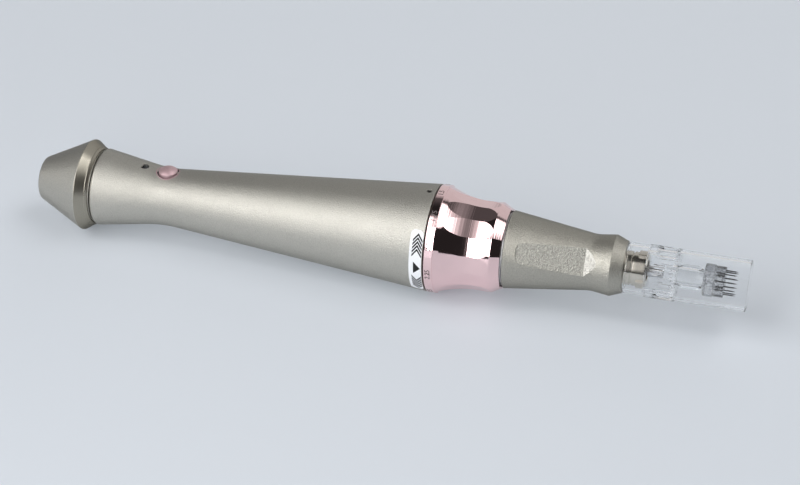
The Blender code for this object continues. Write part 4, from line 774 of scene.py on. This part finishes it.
def make_ring(finish):
    band_front = RING_REAR + RING_BAND_LENGTH
    collar_rear = RING_FRONT - RING_COLLAR_LENGTH
    count = round((collar_rear - band_front) / RING_ROW)
    places = [band_front + (collar_rear - band_front) * step / count for step in range(count + 1)]
    flank = [(x, ring_land(x)) for x in reversed(places)]
    cone = spaced([(RING_FRONT, RING_FRONT_RADIUS), (collar_rear, RING_LAND_RADIUS)], RING_ROW)
    band = rounded([
        (band_front, ring_land(band_front)),
        (band_front, RING_RADIUS, RING_EDGE_ROUND),
        (RING_REAR, RING_RADIUS, RING_EDGE_ROUND),
        (RING_REAR, RING_BORE_RADIUS),
    ])
    rows = []
    half_pitch = math.pi / SCALLOP_COUNT
    for x, radius in cone[:-1] + flank + band[1:-1]:
        cut = scallop_floor(x) if x > band_front else radius
        rows.append(faceted_row(x, radius, cut, half_pitch, None, SCALLOP_FIRST_ANGLE, SCALLOP_COUNT,
                                SCALLOP_COLUMNS))
    plain = [angle for _, _, angle in rows[-1]]
    for x in (RING_REAR, RING_FRONT):
        rows.append([(x, RING_BORE_RADIUS, angle) for angle in plain])
    ring = skin("fine_ring", rows, True, sharp=RING_SHARP_ANGLE)
    dress(ring, finish, "dial", "rose_metal", "depth_ring")


def wrapped(name, shape, x, angle, surface, lift):
    """A flat shape wrapped round the pen: X runs up the near side, Y towards the tail and Z outwards."""
    runs = [vertex.co.x for vertex in shape.verts]
    start, end = min(runs), max(runs)
    steps = math.ceil((end - start) / WRAP_STEP)
    for step in range(1, steps):
        cut = start + (end - start) * step / steps
        everything = [*shape.verts, *shape.edges, *shape.faces]
        bmesh.ops.bisect_plane(shape, geom=everything, plane_co=(cut, 0, 0), plane_no=(1, 0, 0), dist=WELD)
    for vertex in shape.verts:
        run, rise, out = vertex.co
        station = x - rise
        radius = surface(station)
        vertex.co = along_pen(station, radius + out * lift, angle - run / radius)
    bmesh.ops.recalc_face_normals(shape, faces=shape.faces)
    return placed(name, shape)


def plate(*outlines):
    """Flat plates of the outlines, from 1 below to 1 above the surface, in lifts."""
    shape = bmesh.new()
    for outline in outlines:
        top = [shape.verts.new((*point, 1)) for point in outline]
        bottom = [shape.verts.new((*point, -1)) for point in outline]
        shape.faces.new(top)
        shape.faces.new(bottom[::-1])
        for index in range(len(outline)):
            after = (index + 1) % len(outline)
            shape.faces.new((top[index], bottom[index], bottom[after], top[after]))
    return shape


def make_figures(finish):
    for index, figure in enumerate(FIGURES):
        angle = LAST_FIGURE_ANGLE - FIGURE_PITCH * (len(FIGURES) - 1 - index)
        text = bpy.data.curves.new("figure", "FONT")
        text.body = figure
        text.size = FIGURE_SIZE
        text.align_x = "CENTER"
        text.align_y = "CENTER"
        text.extrude = 1
        text.offset = FIGURE_STROKE
        text.resolution_u = FIGURE_FINENESS
        written = new_object("figure", text)
        shape = bmesh.new()
        shape.from_mesh(final_mesh(written))
        bmesh.ops.remove_doubles(shape, verts=shape.verts, dist=WELD)
        bpy.data.objects.remove(written)
        name = "dial_figure_" + figure.replace(".", "_")
        place = RING_REAR + RING_BAND_LENGTH / 2
        mark = wrapped(name, shape, place, angle, lambda x: RING_RADIUS, FIGURE_LIFT)
        dress(mark, finish, "dial", "rose_metal")


def strip_outline(rear, front):
    """The index strip's outline: a long bar with rounded corners, with its length along X."""
    across = (front - rear) / 2
    corner = min(STRIP_CORNER, across)
    outline = []
    for quarter, (run, rise) in enumerate(((1, 1), (-1, 1), (-1, -1), (1, -1))):
        centre = (run * (STRIP_HALF_LENGTH - corner), rise * (across - corner))
        for step in range(ROUND_STEPS + 1):
            turn = math.pi / 2 * (quarter + step / ROUND_STEPS)
            outline.append((centre[0] + corner * math.cos(turn), centre[1] + corner * math.sin(turn)))
    return outline


def make_index_strip(white, black):
    rear = HOUSING_FRONT - STRIP_REAR_GAP
    front = HOUSING_FRONT - STRIP_FRONT_GAP
    centre = (rear + front) / 2

    def stick(name, shape, lift, finish, slot):
        dress(wrapped(name, shape, centre, STRIP_ANGLE, body_radius, lift), finish, "body", slot)

    stick("index_strip", plate(strip_outline(rear, front)), STRIP_LIFT, white, "white_acetal")
    base = ARROW_DEPTH - ARROW_TIP
    arrow = plate([(-MARK_SHIFT, -ARROW_TIP), (ARROW_HALF_WIDTH - MARK_SHIFT, base),
                   (-ARROW_HALF_WIDTH - MARK_SHIFT, base)])
    stick("index_arrow", arrow, MARK_LIFT, black, "black_plastic")
    for side, sense in (("upper", 1), ("lower", -1)):
        chevrons = []
        for index in range(CHEVRON_COUNT):
            tip = CHEVRON_FIRST - CHEVRON_PITCH * index
            half = [(tip, 0), (tip - CHEVRON_DROP, CHEVRON_HALF_WIDTH),
                    (tip - CHEVRON_DROP - CHEVRON_STROKE, CHEVRON_HALF_WIDTH), (tip - CHEVRON_STROKE, 0)]
            for mirror in (1, -1):
                chevrons.append([(run * sense, rise * mirror - MARK_SHIFT) for run, rise in half])
        stick(f"index_chevrons_{side}", plate(*chevrons), MARK_LIFT, black, "black_plastic")


def nozzle_profile():
    return [
        (NOZZLE_FRONT, NOZZLE_FACE_RADIUS),
        (NOZZLE_REAR + NOZZLE_LIP_DISTANCE, NOZZLE_LIP_RADIUS, NOZZLE_LIP_ROUND),
        (NOZZLE_REAR + NOZZLE_WAIST_DISTANCE, NOZZLE_WAIST_RADIUS, NOZZLE_WAIST_ROUND),
        (NOZZLE_REAR, NOZZLE_REAR_RADIUS, NOZZLE_EDGE_ROUND),
    ]


def cone_radius(x):
    """The nozzle's straight cone, before its waist is rounded."""
    share = (x - NOZZLE_REAR) / NOZZLE_WAIST_DISTANCE
    return NOZZLE_REAR_RADIUS + (NOZZLE_WAIST_RADIUS - NOZZLE_REAR_RADIUS) * share


def pocket_floor(x, profile):
    """The height of a pocket's floor, or None where there is no pocket; its scoop ends on the profile."""
    start = NOZZLE_REAR + POCKET_START
    end = start + POCKET_LENGTH
    scoop_end = end + POCKET_SCOOP_LENGTH
    floor_start = cone_radius(start) - POCKET_START_DEPTH
    floor_end = cone_radius(end) - POCKET_END_DEPTH
    lip = radius_on(profile, scoop_end)
    halfway = floor_end + (lip - floor_end) * SCOOP_RISE_SHARE
    places = [(scoop_end, lip), (end + POCKET_SCOOP_LENGTH / 2, halfway), (end, floor_end),
              (start, floor_start)]
    return radius_on(places, x) if start <= x <= scoop_end else None


def pocket_half_width(x):
    """Half the pocket's plan at X = x, whose rear end is round."""
    centre = NOZZLE_REAR + POCKET_START + POCKET_ROUND
    if x >= centre:
        return POCKET_WIDTH / 2
    return math.sqrt(max(0, POCKET_ROUND ** 2 - (centre - x) ** 2)) * POCKET_WIDTH / 2 / POCKET_ROUND


def make_nozzle(finish, pocket_finish, scoop_highlight_finish):
    front_inside = (NOZZLE_FRONT, NOZZLE_BORE_RADIUS)
    rear_inside = (NOZZLE_REAR, NOZZLE_SOCKET_RADIUS)
    profile = spaced(rounded([front_inside, *nozzle_profile(), rear_inside])[1:-1], NOZZLE_ROW)
    start = NOZZLE_REAR + POCKET_START
    smooth = list(profile)
    for step in range(ROUND_STEPS):
        x = start + POCKET_ROUND * (1 - math.cos(math.pi / 2 * step / ROUND_STEPS))
        profile.append((x, cone_radius(x)))
    profile.sort(key=lambda point: -point[0])
    half_pitch = math.pi / POCKET_COUNT
    rows = []
    for x, radius in profile:
        floor = pocket_floor(x, smooth)
        width = pocket_half_width(x)
        if floor is None or width <= 0:
            floor, width = radius, 0
        rows.append(faceted_row(x, radius, floor, half_pitch, width, POCKET_FIRST_ANGLE, POCKET_COUNT,
                                POCKET_COLUMNS))
    plain = [angle for _, _, angle in rows[0]]
    socket_front = NOZZLE_REAR + NOZZLE_SOCKET_LENGTH
    seat_rear = NOSE_REAR + NOZZLE_SEAT_GAP
    inside = [
        (NOZZLE_REAR, NOZZLE_SOCKET_RADIUS), (socket_front, NOZZLE_SOCKET_RADIUS),
        (socket_front, NOZZLE_CARRIER_RADIUS), (NOSE_REAR - NOZZLE_TAPER_GAP, NOZZLE_THROAT_RADIUS),
        (seat_rear, NOZZLE_THROAT_RADIUS), (seat_rear, NOZZLE_BORE_RADIUS),
        (NOZZLE_FRONT, NOZZLE_BORE_RADIUS),
    ]
    for x, radius in inside:
        rows.append([(x, radius, angle) for angle in plain])
    nozzle = skin("fine_nozzle", rows)
    dress(nozzle, finish, "nozzle", "champagne_aluminium", "nozzle_grip")

    def in_pocket(x, radius):
        outer = x > start and radius > POCKET_LEAST_RADIUS
        return outer and radius < radius_on(profile, x) - POCKET_LEAST_DEPTH

    add_finish(nozzle, pocket_finish, in_pocket)
    # The scoops take a cut finish whose colour, lighter than the blasted metal, is a painted highlight.
    add_finish(nozzle, scoop_highlight_finish, lambda x, radius: x > start + POCKET_LENGTH and in_pocket(x, radius))


def lug_tool(radius, width, turn, inner, rear, front):
    """Two opposite blocks round the pen's axis: a ring's part within a slab of that width."""
    ring = turned("lugs", [(front, radius), (rear, radius), (rear, inner), (front, inner)])
    shape = bmesh.new()
    bmesh.ops.create_cube(shape, size=1)
    bmesh.ops.scale(shape, vec=((front - rear) * 2, width, radius * 3), verts=shape.verts)
    slab = placed("slab", shape)
    slab.matrix_world = Matrix.Translation(((rear + front) / 2, 0, AXIS)) @ Matrix.Rotation(turn, 4, "X")
    carve(ring, slab, "INTERSECT")
    return ring


def make_nose(finish):
    groove_rear = NOZZLE_FRONT + NOSE_GROOVE_DISTANCE
    groove_front = groove_rear + NOSE_GROOVE_LENGTH
    groove_floor = NOSE_RADIUS - NOSE_GROOVE_DEPTH
    flange_front = NOSE_REAR + NOSE_FLANGE_LENGTH
    nose = turned("fine_nose", [
        (NOSE_FRONT, NOSE_RADIUS, NOSE_EDGE_ROUND),
        (groove_front, NOSE_RADIUS, FINE_EDGE_ROUND),
        (groove_front, groove_floor),
        (groove_rear, groove_floor),
        (groove_rear, NOSE_RADIUS, FINE_EDGE_ROUND),
        (flange_front, NOSE_RADIUS),
        (flange_front, NOSE_FLANGE_RADIUS),
        (NOSE_REAR, NOSE_FLANGE_RADIUS),
        (NOSE_REAR, NOSE_BORE_RADIUS),
        (NOSE_FRONT, NOSE_BORE_RADIUS, RIM_ROUND),
    ])
    lug_rear = NOZZLE_FRONT + LUG_DISTANCE
    inner = (NOSE_BORE_RADIUS + NOSE_RADIUS) / 2
    lugs = lug_tool(LUG_RADIUS, LUG_WIDTH, LUG_ANGLE, inner, lug_rear, lug_rear + LUG_LENGTH)
    carve(nose, lugs, "UNION")
    dress(nose, finish, "nozzle", "polished_nickel", "bayonet_nose")


def make_shell(finish, band_finish):
    band_rear = SHELL_REAR + SKIRT_LENGTH
    band_front = band_rear + BAND_LENGTH
    tube_rear = band_front + COLLAR_LENGTH
    skirt_bore = SHELL_RADIUS - SKIRT_WALL
    tube_bore = SHELL_RADIUS - SHELL_WALL
    bulkhead_rear = tube_rear - BULKHEAD
    neck_front = tube_rear + NECK_LENGTH
    neck_root = NECK_BORE_RADIUS + NECK_WALL
    bulge = tube_rear + NECK_LENGTH / 2
    bulge_half = NECK_LENGTH / 4
    profile = spaced(rounded([
        (SHELL_FRONT, SHELL_RADIUS, SHELL_EDGE_ROUND),
        (tube_rear, SHELL_RADIUS),
        (tube_rear, BAND_RADIUS, RIM_ROUND),
        (band_front, BAND_RADIUS),
        (band_rear, BAND_RADIUS, RIM_ROUND),
        (band_rear, SHELL_RADIUS),
        (SHELL_REAR, SHELL_RADIUS, SHELL_EDGE_ROUND),
        (SHELL_REAR, skirt_bore, RIM_ROUND),
        (band_rear, skirt_bore),
        (band_rear, WEB_BORE_RADIUS),
        (band_front, WEB_BORE_RADIUS),
        (band_front, COLLAR_BORE_RADIUS),
        (bulkhead_rear, COLLAR_BORE_RADIUS),
        (bulkhead_rear, NECK_BORE_RADIUS),
        (neck_front, NECK_BORE_RADIUS),
        (neck_front, neck_root, RIM_ROUND),
        (bulge + bulge_half, NECK_BULGE_RADIUS, NECK_BULGE_ROUND),
        (bulge - bulge_half, NECK_BULGE_RADIUS, NECK_BULGE_ROUND),
        (tube_rear, neck_root),
        (tube_rear, tube_bore),
        (SHELL_FRONT, tube_bore, RIM_ROUND),
    ]))
    columns = RIB_COUNT * RIB_COLUMNS
    rows = []
    for x, radius in profile:
        ribbed = radius > SHELL_RADIUS and band_front < x < tube_rear
        row = []
        for index, angle in enumerate(angles(columns)):
            reach = radius
            if ribbed:
                ends = min(x - band_front, tube_rear - x) / RIB_MARGIN
                place = abs((index % RIB_COLUMNS) / RIB_COLUMNS - 0.5) * 2
                slope = (RIB_GROOVE_SHARE + RIB_SLOPE_SHARE / 2 - place) / RIB_SLOPE_SHARE
                wave = min(1.0, max(0.0, slope))
                reach -= RIB_GROOVE_DEPTH * wave * min(1.0, ends)
            row.append((x, reach, angle))
        rows.append(row)
    shell = skin("fine_cartridge", rows)
    slot = lug_tool(LUG_RADIUS + LUG_SLOT_GAP, LUG_WIDTH + LUG_SLOT_GAP * 2, LUG_SLOT_ANGLE, NOSE_RADIUS,
                    band_rear - LUG_SLOT_GAP, band_front + LUG_SLOT_GAP)
    carve(shell, slot)
    dress(shell, finish, "cartridge", "clear_plastic", "cartridge_shell")
    add_finish(shell, band_finish, lambda x, radius: (
        band_rear - WELD <= x <= band_front and radius > SHELL_RADIUS - SKIRT_WALL))


def make_needles(stem_finish, needle_finish, block_finish):
    disc_rear = DISC_FRONT - DISC_LENGTH
    carrier = turned("fine_needle_carrier", [
        (DISC_FRONT, 0),
        (DISC_FRONT, DISC_RADIUS, DISC_ROUND),
        (disc_rear, DISC_RADIUS, DISC_ROUND),
        (disc_rear, STEM_RADIUS),
        (STEM_REAR, STEM_RADIUS, DISC_ROUND),
        (STEM_REAR, 0),
    ], SMALL_COLUMNS, False)
    dress(carrier, stem_finish, "needles", "frosted_plastic", "needle_carrier")
    add_finish(carrier, block_finish, lambda x, radius: x > disc_rear - WELD)
    block_front = BLOCK_REAR + BLOCK_LENGTH
    block = turned("fine_needle_block", [
        (block_front, 0),
        (block_front, BLOCK_RADIUS, DISC_ROUND),
        (BLOCK_REAR, BLOCK_RADIUS),
        (BLOCK_REAR, 0),
    ], SMALL_COLUMNS, False)
    dress(block, block_finish, "needles", "frosted_plastic", "needle_block")
    shoulder = NEEDLE_TIP - NEEDLE_TIP_LENGTH
    needle_rear = BLOCK_REAR + NEEDLE_ROOT
    number = 0
    for circle, count, first in NEEDLE_CIRCLES:
        for index in range(count):
            turn = first + math.tau * index / count
            shift = Vector((0, -circle * math.sin(turn), circle * math.cos(turn)))
            number += 1
            needle = turned(f"needle_{number:02d}", [
                (NEEDLE_TIP, 0),
                (shoulder, NEEDLE_RADIUS),
                (needle_rear, NEEDLE_RADIUS),
                (needle_rear, 0),
            ], THIN_COLUMNS, False, lambda *point: along_pen(*point) + shift)
            dress(needle, needle_finish, "needles", "bright_steel")


def make_spring(finish):
    """The return spring: a coil of even pitch along the CAD spring's length."""
    rear, front = low("return_spring").x, high("return_spring").x
    wire = SPRING_WIRE_RADIUS
    steps = SPRING_TURNS * SPRING_TURN_STEPS
    rows = []
    for step in range(steps + 1):
        x = rear + wire + (front - rear - wire * 2) * step / steps
        turn = math.tau * SPRING_TURNS * step / steps
        ring = [(x + wire * math.sin(side), SPRING_RADIUS + wire * math.cos(side), turn)
                for side in angles(THIN_COLUMNS)]
        end = [(x, SPRING_RADIUS, turn)] * THIN_COLUMNS
        rows += [end, ring] if step == 0 else [ring, end] if step == steps else [ring]
    spring = skin("fine_return_spring", rows, False)
    dress(spring, finish, "body", "bright_steel", "return_spring")
    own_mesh(spring)


def dress_nodes(finish, *nodes):
    """CAD pieces inside the pen, which keep their meshes and take a fine finish."""
    for node in nodes:
        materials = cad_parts[node].data.materials
        materials.clear()
        materials.append(finish)


def maths(tree, operation, first, second):
    """A Math node over two outputs or numbers."""
    node = add_node(tree, "Math")
    node.operation = operation
    for socket, value in zip(node.inputs, (first, second)):
        feed(tree, socket, value)
    return node.outputs[0]


def level_along(tree, source, stops, reach):
    """The level that the stops give along a source, which runs over the reach."""
    lowest, highest = reach
    share = add_node(tree, "MapRange", Value=source, From_Min=lowest, From_Max=highest)
    ramp = add_node(tree, "ValToRGB", Fac=share.outputs["Result"])
    marks = ramp.color_ramp.elements
    while len(marks) < len(stops):
        marks.new(1.0)
    for mark, (place, level) in zip(marks, stops):
        mark.position = (place - lowest) / (highest - lowest)
        mark.color = (level, level, level, 1)
    return ramp.outputs["Color"]


def mixed(tree, share, first, second, output):
    """Gives the output two shaders, the second as far as the share goes."""
    choice = add_node(tree, "MixShader")
    for socket, source in zip(choice.inputs, (share, first.outputs[0], second.outputs[0])):
        feed(tree, socket, source)
    tree.links.new(choice.outputs[0], tree.nodes[output].inputs["Surface"])


def make_world():
    """Two softboxes and a pale backdrop in a dark room, placed by turn round the pen and reach along it."""
    world = bpy.data.worlds.new("studio")
    world.use_nodes = True
    bpy.context.scene.world = world
    tree = world.node_tree
    parts = add_node(tree, "SeparateXYZ", Vector=add_node(tree, "TexCoord").outputs["Generated"])
    reach = parts.outputs["X"]
    turn = maths(tree, "ARCTAN2", parts.outputs["Z"], maths(tree, "MULTIPLY", parts.outputs["Y"], -1.0))
    turn = maths(tree, "MULTIPLY", turn, 180 / math.pi)
    level = level_along(tree, turn, SKY_LEVELS, TURN_RANGE)
    for box_turn, box_reach in ((LEFT_BOX_TURN, LEFT_BOX_REACH), (RIGHT_BOX_TURN, RIGHT_BOX_REACH),
                                (BACKDROP_TURN, BACKDROP_REACH)):
        box = maths(tree, "MULTIPLY", level_along(tree, turn, box_turn, TURN_RANGE),
                    level_along(tree, reach, box_reach, REACH_RANGE))
        level = maths(tree, "ADD", level, box)
    background = tree.nodes["Background"]
    feed_all(tree, background, Color=(1, 1, 1, 1), Strength=maths(tree, "MULTIPLY", level, SKY_STRENGTH))
    seen = add_node(tree, "Background", Color=(*BACKDROP_COLOUR, 1))
    path = add_node(tree, "LightPath")
    unreflected = maths(tree, "LESS_THAN", path.outputs["Glossy Depth"], 0.5)
    through = maths(tree, "MULTIPLY", path.outputs["Is Transmission Ray"], unreflected)
    direct = maths(tree, "MAXIMUM", path.outputs["Is Camera Ray"], through)
    mixed(tree, direct, background, seen, "World Output")


def aim(thing, place, right, up, back):
    """Puts a lamp or camera at its place, turned to these axes."""
    axes = Matrix((right, up, back)).transposed()
    thing.matrix_world = Matrix.Translation(place) @ axes.to_4x4()


def make_tail_lamp():
    """A near softbox whose reflection carries the light streak on to the flare behind the button."""
    data = bpy.data.lights.new("tail_softbox", "AREA")
    data.shape = "RECTANGLE"
    data.size = LAMP_WIDTH
    data.size_y = LAMP_HEIGHT
    data.energy = LAMP_LEVEL * math.pi * LAMP_WIDTH * LAMP_HEIGHT
    lamp = new_object("tail_softbox", data)
    outwards = Vector((0, -math.cos(LAMP_TURN), math.sin(LAMP_TURN)))
    upwards = Vector((0, math.sin(LAMP_TURN), math.cos(LAMP_TURN)))
    aim(lamp, Vector((LAMP_X, 0, AXIS)) + outwards * LAMP_DISTANCE, upwards.cross(outwards), upwards,
        outwards)
    lamp.visible_camera = False
    lamp.visible_transmission = False


def make_floor():
    shape = bmesh.new()
    bmesh.ops.create_grid(shape, x_segments=1, y_segments=1, size=FLOOR_SIZE / 2)
    floor = placed("floor", shape)
    floor.location.x = FLOOR_TOUCH_X
    floor.rotation_euler.y = FLOOR_SLOPE
    material, tree, shader = new_material("pale_floor", FLOOR_COLOUR, FLOOR_ROUGHNESS, 0.0)
    glow = add_node(tree, "Emission", Color=(*BACKDROP_COLOUR, 1))
    path = add_node(tree, "LightPath")
    mirrored = maths(tree, "MAXIMUM", path.outputs["Is Glossy Ray"], path.outputs["Is Transmission Ray"])
    seen = maths(tree, "MAXIMUM", path.outputs["Is Camera Ray"], mirrored)
    mixed(tree, maths(tree, "MULTIPLY", seen, FLOOR_GLOW), shader, glow, "Material Output")
    floor.data.materials.append(material)


def make_camera():
    back = Vector((
        math.sin(CAMERA_AZIMUTH) * math.cos(CAMERA_ELEVATION),
        -math.cos(CAMERA_AZIMUTH) * math.cos(CAMERA_ELEVATION),
        math.sin(CAMERA_ELEVATION),
    ))
    level = Vector((math.cos(CAMERA_AZIMUTH), math.sin(CAMERA_AZIMUTH), 0))
    right = level * math.cos(CAMERA_ROLL) + back.cross(level) * math.sin(CAMERA_ROLL)
    up = back.cross(right)
    camera = new_object("camera", bpy.data.cameras.new("camera"))
    camera.data.lens = CAMERA_LENS
    camera.data.sensor_width = SENSOR_WIDTH
    aim(camera, CAMERA_AIM + back * CAMERA_DISTANCE, right, up, back)
    bpy.context.scene.camera = camera


# Colour, roughness, metallic, grains a metre, bump, drift of the roughness, shade of the grain
satin = grained("champagne_satin", (0.515, 0.50, 0.455), 0.34, 0.78, 4200, 0.6, 0.03, 0.1, edge=METAL_EDGE)
blasted = grained("champagne_blasted", (0.42, 0.405, 0.36), 0.34, 0.84, 3600, 0.55, 0.04, 0.12,
                  edge=METAL_EDGE)
pocket_blasted = grained("pocket_blasted", (0.41, 0.40, 0.36), 0.38, 0.65, 2800, 0.8, 0.05, 0.24,
                         edge=METAL_EDGE)
# Cut finish of the pockets' scoops; its colour, lighter than the blasted metal, is a painted highlight.
scoop_cut_and_highlight = grained("scoop_cut_and_highlight", (0.60, 0.585, 0.54), 0.36, 0.85, 2600, 0.7, 0.04, 0.12)
rose_satin = grained("rose_satin", (0.60, 0.42, 0.44), 0.45, 0.55, 7000, 0.1, 0.05, 0.06)
# Turned finish of the cap's front faces: lower roughness, and a colour darker than the satin that is
# painted shade.
turned_shaded_face = grained("turned_shaded_face", (0.37, 0.345, 0.29), 0.3, 0.9, 5000, 0.06, 0.03, 0.06, edge=METAL_EDGE)
# Colour, roughness, haze, bump of the lathe lines
rose = polished("rose_polished", (0.93, 0.68, 0.685), 0.05, 0.03, 0.8)
nickel = polished("nickel_polished", (0.60, 0.565, 0.50), 0.14, 0.06, 0.3)
etched = grained("etched_figure", (0.15, 0.12, 0.12), 0.7, 0.0, 12000, 0.1)
white_ink = grained("white_ink", (0.92, 0.935, 0.96), 0.5, 0.0, 9000, 0.03, 0.04, 0.01)
black_ink = grained("black_ink", (0.006, 0.006, 0.007), 0.75, 0.0, 9000, 0.03, 0.04, 0.2)
clear = clear_moulded("clear_moulded", (0.99, 0.993, 0.995), 0.0, 1.3)
frosted = clear_moulded("frosted_moulded", (0.97, 0.98, 0.985), 0.1, 1.3, 0.06)
seeded = clear_moulded("seeded_moulded", (0.95, 0.955, 0.96), 0.04, 1.35, 0.08, 2600, 0.7, 0.2 * MM,
                       (0.32, 0.32, 0.33))
lens = grained("smoked_lens", (0.02, 0.021, 0.023), 0.2, 0.0, 900, 0.02, 0.02, 0.2)
black_oxide = grained("black_oxide", (0.03, 0.03, 0.031), 0.35, 0.8, 6000, 0.06)
steel = grained("needle_steel", (0.13, 0.13, 0.13), 0.3, 1.0, 6000, 0.05)
machined = grained("machined_aluminium", (0.62, 0.62, 0.62), 0.3, 1.0, 5000, 0.12, 0.05, 0.06, (9, 1, 1))
motor_steel = grained("motor_steel", (0.55, 0.56, 0.57), 0.35, 1.0, 4000, 0.08, 0.05, 0.07, (6, 1, 1))
bright = grained("bright_steel", (0.62, 0.62, 0.63), 0.2, 1.0, 6000, 0.06, 0.04, 0.05, (8, 1, 1))
bronze = grained("sintered_bronze", (0.50, 0.33, 0.17), 0.42, 1.0, 6000, 0.35, 0.06, 0.2)
black_moulded = grained("black_moulded", (0.02, 0.02, 0.021), 0.5, 0.0, 5000, 0.14, 0.05, 0.15)
rubber = grained("black_rubber", (0.016, 0.016, 0.016), 0.75, 0.0, 3500, 0.2, 0.05, 0.2)
acetal = grained("white_acetal", (0.72, 0.72, 0.69), 0.38, 0.0, 3000, 0.05, 0.04, 0.02)
board = grained("board_lacquer", (0.02, 0.14, 0.06), 0.38, 0.0, 1800, 0.1, 0.05, 0.25)
sleeve = grained("cell_film", (0.05, 0.12, 0.32), 0.3, 0.0, 1500, 0.04, 0.04, 0.05)
lead = grained("lead_sleeve", (0.45, 0.035, 0.03), 0.45, 0.0, 3000, 0.05, 0.04, 0.06)

make_camera()
make_world()
make_tail_lamp()
make_floor()
make_cap(satin, turned_shaded_face)
make_housing(satin)
make_bezel(rose_satin, rubber)
make_button(rose_satin)
make_led(lens)
make_grub_screw(black_oxide)
make_ring(rose)
make_figures(etched)
make_index_strip(white_ink, black_ink)
make_nozzle(blasted, pocket_blasted, scoop_cut_and_highlight)
make_nose(nickel)
make_shell(clear, frosted)
make_needles(clear, steel, seeded)
make_spring(bright)
dress_nodes(board, "circuit_board")
dress_nodes(black_moulded, "power_switch", "inner_chassis", "motor_end_cap")
dress_nodes(sleeve, "battery_cell")
dress_nodes(lead, "motor_lead_left", "motor_lead_right")
dress_nodes(motor_steel, "motor_can")
dress_nodes(rubber, "cap_seal", "motor_damper", "ring_seal")
dress_nodes(bright, "motor_screw_left", "motor_screw_right", "motor_shaft", "plunger", "follower_ball")
dress_nodes(acetal, "drive_cam")
dress_nodes(bronze, "plunger_bush")
dress_nodes(machined, "front_frame", "nozzle_carrier")

bpy.context.scene.view_settings.view_transform = "Standard"
